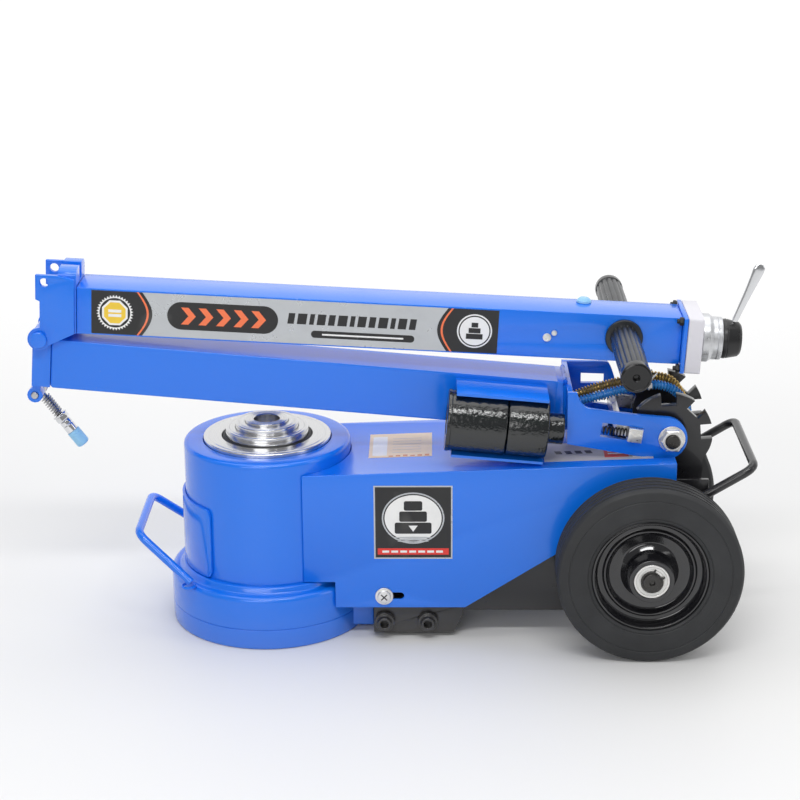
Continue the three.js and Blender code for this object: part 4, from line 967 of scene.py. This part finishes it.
def build_upper():
    for side, s in SIDES:
        fluted_grip(side, s)
    piece("grip_rod", collar(0, 9.9, -27.9, 27.9, 48, "Y", 0), "steel", "upper_handle",
          ["grip_bar"], place=UPPER @ at(GRIP_U, 0, GRIP_V))

    # Valve along the arm's axis, from the block outwards.
    block_u = ARM_END + GAP + FLANGE_THICKNESS + GAP
    body_u = block_u + BLOCK_THICKNESS + GAP
    body_end = body_u + BODY_LENGTH
    knob_u = body_end + GAP
    place = UPPER @ at(0, 0, VALVE_V)
    piece("valve_housing", lathe([
        (0, body_u), (24, body_u, 0.6), (26.5, body_u + 2, 0.8), (26.5, body_u + 9.5, 2),
        (23.6, body_u + 13, 2), (23.6, body_u + 18), (23, body_u + 18.6), (23.6, body_u + 19.2),
        (23.6, body_end, 1.4), (8.3, body_end),
        (8.3, body_end - 16), (0, body_end - 16),
    ], 128, 6, "X"), "alloy", "upper_handle", ["valve_body"], place=place)
    piece("control_knob", lathe([
        (0, body_end - 15), (8, body_end - 15), (8, knob_u), (21.5, knob_u, 0.8), (22, knob_u + 4, 0.5),
        (21.2, knob_u + 4.8, 0.4), (21.6, knob_u + 5.6, 0.5), (19, knob_u + 18, 2.5), (16, knob_u + 21, 2.5),
        (9, knob_u + 20.4, 2), (0, knob_u + 20.4),
    ], 128, 6, "X"), "knob", "valve_control", ["valve_knob"], place=place)
    bm = bmesh.new()
    rings = []
    for z, half_x, half_y, lean in (
        (-2, 3.2, 2.5, 0), (4, 3.3, 2.6, 0), (20, 3.8, 2.7, 0.2), (36, 4.5, 2.7, 0.7),
        (52, 5.6, 2.6, 1.0), (61, 6.4, 2.6, 1.0), (66, 5.6, 2.4, 1.2), (68.4, 3.0, 1.6, 1.4),
    ):
        rings.append([(lean + half_x * copysign(abs(c) ** 0.6, c), half_y * copysign(abs(d) ** 0.6, d), z)
                      for c, d in oval(0, 0, 1, n=24)])
    grid(bm, rings, caps=True)
    lever = UPPER @ at(knob_u + 13, 0, VALVE_V + 20.6) @ Matrix.Rotation(radians(18), 4, "Y")
    piece("control_lever", bm, "chrome", "valve_control", ["valve_lever"], place=lever)

    # Flange screws: socket heads behind the flange's corners.
    for k, (a, b) in enumerate(((-1, -1), (-1, 1), (1, -1), (1, 1))):
        spot = (0, a * 33, VALVE_V + b * 26.5)
        piece(f"flange_bolt_{k + 1}", merged(
            hexagon(4.9, ARM_END - 4, ARM_END + 0.1),
            lathe([
                (0, ARM_END - 7), (2.5, ARM_END - 7, 0.4), (2.5, ARM_END - 4), (0, ARM_END - 4),
            ], 20, 3, "X"),
        ), "seal", "upper_handle", place=UPPER @ Matrix.Translation(spot))
    piece("arm_dome", lathe([
        (0, 59.1), (8.4, 59.1, 0.4), (8, 61.4, 1.5), (5, 64.4, 2.5), (0, 65),
    ], 56, 6), "cap", "upper_handle", place=UPPER @ at(590, 16, 0))
    # Screw with a notched washer on the arm's near side.
    peg = lathe([(0, -28.1), (3.1, -28.1), (3.0, -30.6, 0.8), (0, -30.8)], 24, 3, "Y")
    peg.transform(at(7.5, 0, 5.5))
    piece("arm_side_screw", merged(
        lathe([
            (0, -28.1), (4.6, -28.1), (4.6, -29.6, 0.5), (2.2, -29.9, 0.3), (1.9, -29, 0.2), (0, -29),
        ], 32, 3, "Y"),
        peg,
    ), "zinc", "upper_handle", place=UPPER @ at(549, 0, 30))


# --- labels
INKS = ["silver", "black", "white", "orange", "gold", "red", "cream", "rust", "grey"]
LAYER = 0.14


def pill(x0, x1, y0, y1):
    r = (y1 - y0) / 2 - 0.01
    return rounded([(x0, y0, r), (x1, y0, r), (x1, y1, r), (x0, y1, r)], 10)


def bar(x0, x1, y0, y1, slant=0.0):
    return [(x0, y0), (x1, y0), (x1 + slant, y1), (x0 + slant, y1)]


def label(name, shapes, place, body):
    """Stacked film shapes: each is (ink, layer, outline) in the label's own x and y, facing +z."""
    bm = bmesh.new()
    for ink, layer, outline in shapes:
        z0, z1 = (layer - 0.8) * LAYER if layer else 0.0, (layer + 1) * LAYER
        bottom = [bm.verts.new((x, y, z0)) for x, y in outline]
        top = [bm.verts.new((x, y, z1)) for x, y in outline]
        faces = [bm.faces.new(top), bm.faces.new(bottom[::-1])]
        for i in range(len(outline)):
            j = (i + 1) % len(outline)
            faces.append(bm.faces.new((bottom[i], bottom[j], top[j], top[i])))
        for face in faces:
            face.material_index = INKS.index(ink)
    obj = to_object(name, bm, [f"ink_{ink}" for ink in INKS], place)
    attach(obj, body)


def near_face(frame_matrix, u, y, v):
    """A label's place on a face that looks to -Y: x along the frame, y up, z outwards."""
    turn = Matrix(((1, 0, 0), (0, 0, -1), (0, 1, 0))).to_4x4()
    return frame_matrix @ at(u, y, v) @ turn


def build_labels():
    length, height = 440, 48.5
    end = 66
    shapes = [("silver", 0, bar(0, length, 0, height))]
    for x, mirror in ((0, 1), (length, -1)):
        field, stripe = (
            [(x + mirror * (from_end + 11 * sin(pi * k / 12)), height * k / 12) for k in range(13)]
            for from_end in (end - 11, end - 17)
        )
        field = [(x, 0)] + field + [(x, height)]
        stripe += [(px + mirror * 2.2, py) for px, py in stripe[::-1]]
        shapes += [("black", 1, field[::mirror]), ("orange", 2, stripe[::mirror])]
    # Left badge: a gold octagon on a toothed white ring.
    cx, cy = 25.5, height / 2
    teeth = [(cx + (20 if k % 2 else 17.4) * cos(pi * k / 36),
              cy + (20 if k % 2 else 17.4) * sin(pi * k / 36)) for k in range(72)]
    shapes += [("white", 2, teeth), ("black", 3, oval(cx, cy, 16.6)),
               ("white", 4, oval(cx, cy, 15, n=8, turn=0.5)), ("gold", 5, oval(cx, cy, 12.6, n=8, turn=0.5))]
    shapes += [("white", 6, bar(cx - 7, cx + 7, cy + dy, cy + dy + 3.2)) for dy in (-4.5, 0.5)]
    # Black pill with orange slanted chevrons.
    shapes.append(("black", 1, pill(82, 202, 9, 40)))
    chevron = ((0, 15), (8, 15), (16, 24.5), (8, 34), (0, 34), (8, 24.5))
    shapes += [("orange", 2, [(97 + 19 * k + dx, y) for dx, y in chevron]) for k in range(5)]
    # A row of plain blocks and a slim pill below it.
    x = 212
    for k in range(13):
        width = (7, 10, 5, 9)[k % 4]
        shapes.append(("black", 1, bar(x, x + width, 22, 34, 1.5)))
        x += width + 3.2
    shapes += [("black", 1, pill(238, 350, 7.5, 15.5)), ("white", 2, bar(250, 338, 10.6, 12.4))]
    # Right badge: a ringed disc with a plain stepped column.
    cx = length - 25.5
    shapes += [("white", 2, oval(cx, cy, 19)), ("black", 3, oval(cx, cy, 17.4)), ("white", 4, oval(cx, cy, 16))]
    for half, y0, y1 in ((9, -9, -3), (6.4, -2.2, 3.4), (3.6, 4.2, 9.5)):
        shapes.append(("black", 5, bar(cx - half, cx + half, cy + y0, cy + y1)))
    label("arm_label", shapes, near_face(UPPER, 56, -28.05, 8.6), "upper_handle")

    side = 85.5
    shapes = [("silver", 0, bar(0, side, 0, side)), ("black", 1, bar(1.6, side - 1.6, 1.6, side - 1.6))]
    cx, cy = side / 2, side * 0.56
    for k, (grow, ink) in enumerate(((30, "silver"), (28.4, "black"), (27, "white"))):
        shapes.append((ink, 2 + k, oval(cx, cy, grow + 4, grow)))
    for half, y0, y1 in ((10, 9, 20), (15, -4, 8), (20, -18, -5)):
        shapes.append(("black", 5, rounded([(cx - half, cy + y0, 2), (cx + half, cy + y0, 2),
                                            (cx + half, cy + y1, 2), (cx - half, cy + y1, 2)], 4)))
    shapes.append(("white", 6, [(cx - 5, cy - 8.5), (cx + 5, cy - 8.5), (cx, cy - 15.5)][::-1]))
    for k in range(3):
        shapes.append(("silver", 6 - k, oval(cx, cy - 22.5 - 2.2 * k, 21 - 2 * k, 1.0)))
    shapes.append(("red", 2, bar(4, side - 4, 5, 12.5)))
    for k in range(7):
        shapes.append(("white", 3, bar(9 + 9.8 * k, 16.4 + 9.8 * k, 7.4, 9.9)))
    hood_y = size_of("hood_cover")[0].y
    label("hood_label", shapes, near_face(Matrix.Identity(4), 120.5, hood_y - 0.05, 97), "chassis")

    # Two paper labels on the hood's sloping top.
    x0, x1, z0, z1 = 43, 447, 193.3, 207.4
    slope = atan2(z1 - z0, x1 - x0)
    top = at(x0, 0, z0 + 0.05) @ Matrix.Rotation(-slope, 4, "Y")
    shapes = [("cream", 0, bar(0, 70, 0, 76))]
    shapes += [("rust", 1, bar(22 + 8 * k, 27 + 8 * k, 2, 5 + (k % 3))) for k in range(6)]
    shapes += [("grey", 1, bar(26, 58, 14 + 9 * k, 14.8 + 9 * k)) for k in range(6)]
    shapes += [("white", 1, bar(4, 20, 6, 66))]
    label("cream_label", shapes, top @ at(71, -35.5, 0), "chassis")
    shapes = [("grey", 0, bar(0, 118, 0, 56))]
    shapes += [("black", 1, bar(14 + 11 * k, 21 + 11 * k, 22, 31, -2)) for k in range(4)]
    shapes += [("red", 1, bar(66, 92, 8, 36)), ("white", 2, bar(70, 88, 17, 20)),
               ("white", 2, bar(70, 88, 24, 27)), ("white", 1, bar(96, 114, 6, 40))]
    label("grey_label", shapes, top @ at(263, -66, 0), "chassis")


# --- small fittings on the chassis
HOOD_HALF_W = 85


def build_fittings():
    for side, s in SIDES:
        centre = middle(f"hood_screw_{side}")
        y0 = s * (HOOD_HALF_W + 0.3)
        piece(f"clamp_screw_{side}", merged(
            lathe([
                (0, y0), (10, y0), (10, y0 + s * 1.4, 0.5), (7.4, y0 + s * 1.6, 0.3),
                (7.2, y0 + s * 4.2, 1.2), (0, y0 + s * 4.4),
            ], 48, 3, "Y"),
            collar(0, 3.5, y0 - s * 16, y0, 24, "Y", 0, 2),
        ), "zinc", "chassis", [f"hood_screw_{side}"], place=at(centre.x, 0, centre.z))
        # Two thin dark bars on each screw head: painted shade standing in for the shaded cross recess, which is
        # not modelled.
        for k in range(2):
            cross = block(-4.6, 4.6, y0 + s * 4.3 - 0.1, y0 + s * 4.3 + 0.1, -0.7, 0.7)
            turn = at(centre.x, 0, centre.z) @ Matrix.Rotation(pi * (k / 2 + 0.25), 4, "Y")
            piece(f"clamp_cross_shade_{side}_{k + 1}", cross, "dark_steel", "chassis", place=turn)
    for name in ("front", "rear"):
        low, high = size_of(f"pump_plug_{name}")
        centre = (low + high) / 2
        y0 = low.y
        piece(f"plug_{name}", lathe([
            (0, y0 + 9), (4.6, y0 + 9), (4.6, y0, 0.6), (7.2, y0, 1.2), (8.2, y0 + 5, 1.2), (11, y0 + 5.6, 1),
            (11, y0 + 11.6, 0.6), (6.6, y0 + 11.6), (6.6, high.y), (0, high.y),
        ], 64, 4, "Y"), "black", "chassis", [f"pump_plug_{name}"], place=at(centre.x, 0, centre.z))


# --- CAD pieces that keep their shape
CAD_LOOKS = {
    "hood_cover": ("blue", 1.4), "lower_arm": ("blue", 3.0), "upper_arm": ("blue", 3.0),
    "hinge_leaf": ("blue", 0.9), "hinge_bracket": ("blue", 1.2), "fork_cheek_left": ("blue", 1.0),
    "fork_cheek_right": ("blue", 1.0), "fork_web": ("blue", 0.9), "adapter_holder": ("blue", 0.8),
    "end_flange": ("blue", 0.8), "valve_block": ("satin_alloy", 2.2), "pump_block": ("black", 1.2),
    "air_motor": ("alloy", 1.2), "chassis_side_left": ("black", 0.9), "chassis_side_right": ("black", 0.9),
    "sector_plate_left": ("black", 0.9), "sector_plate_right": ("black", 0.9),
    "sector_cross_bar": ("black", 1.0),
    "lock_yoke": ("zinc", 1.2),
}


def dress_cad():
    for name, (look, bevel) in CAD_LOOKS.items():
        obj = NODES[name]
        obj.material_slots[0].link = "OBJECT"
        obj.material_slots[0].material = MAT[look]
        finish_mesh(obj, bevel, 3, weld=True)


def main():
    SCENE.view_settings.view_transform = "Standard"
    make_camera()
    make_stage()
    dress_cad()
    build_lift()
    build_carry_handles()
    build_wheels()
    build_fork()
    build_hinge()
    build_adapters()
    build_upper()
    build_labels()
    build_fittings()


main()
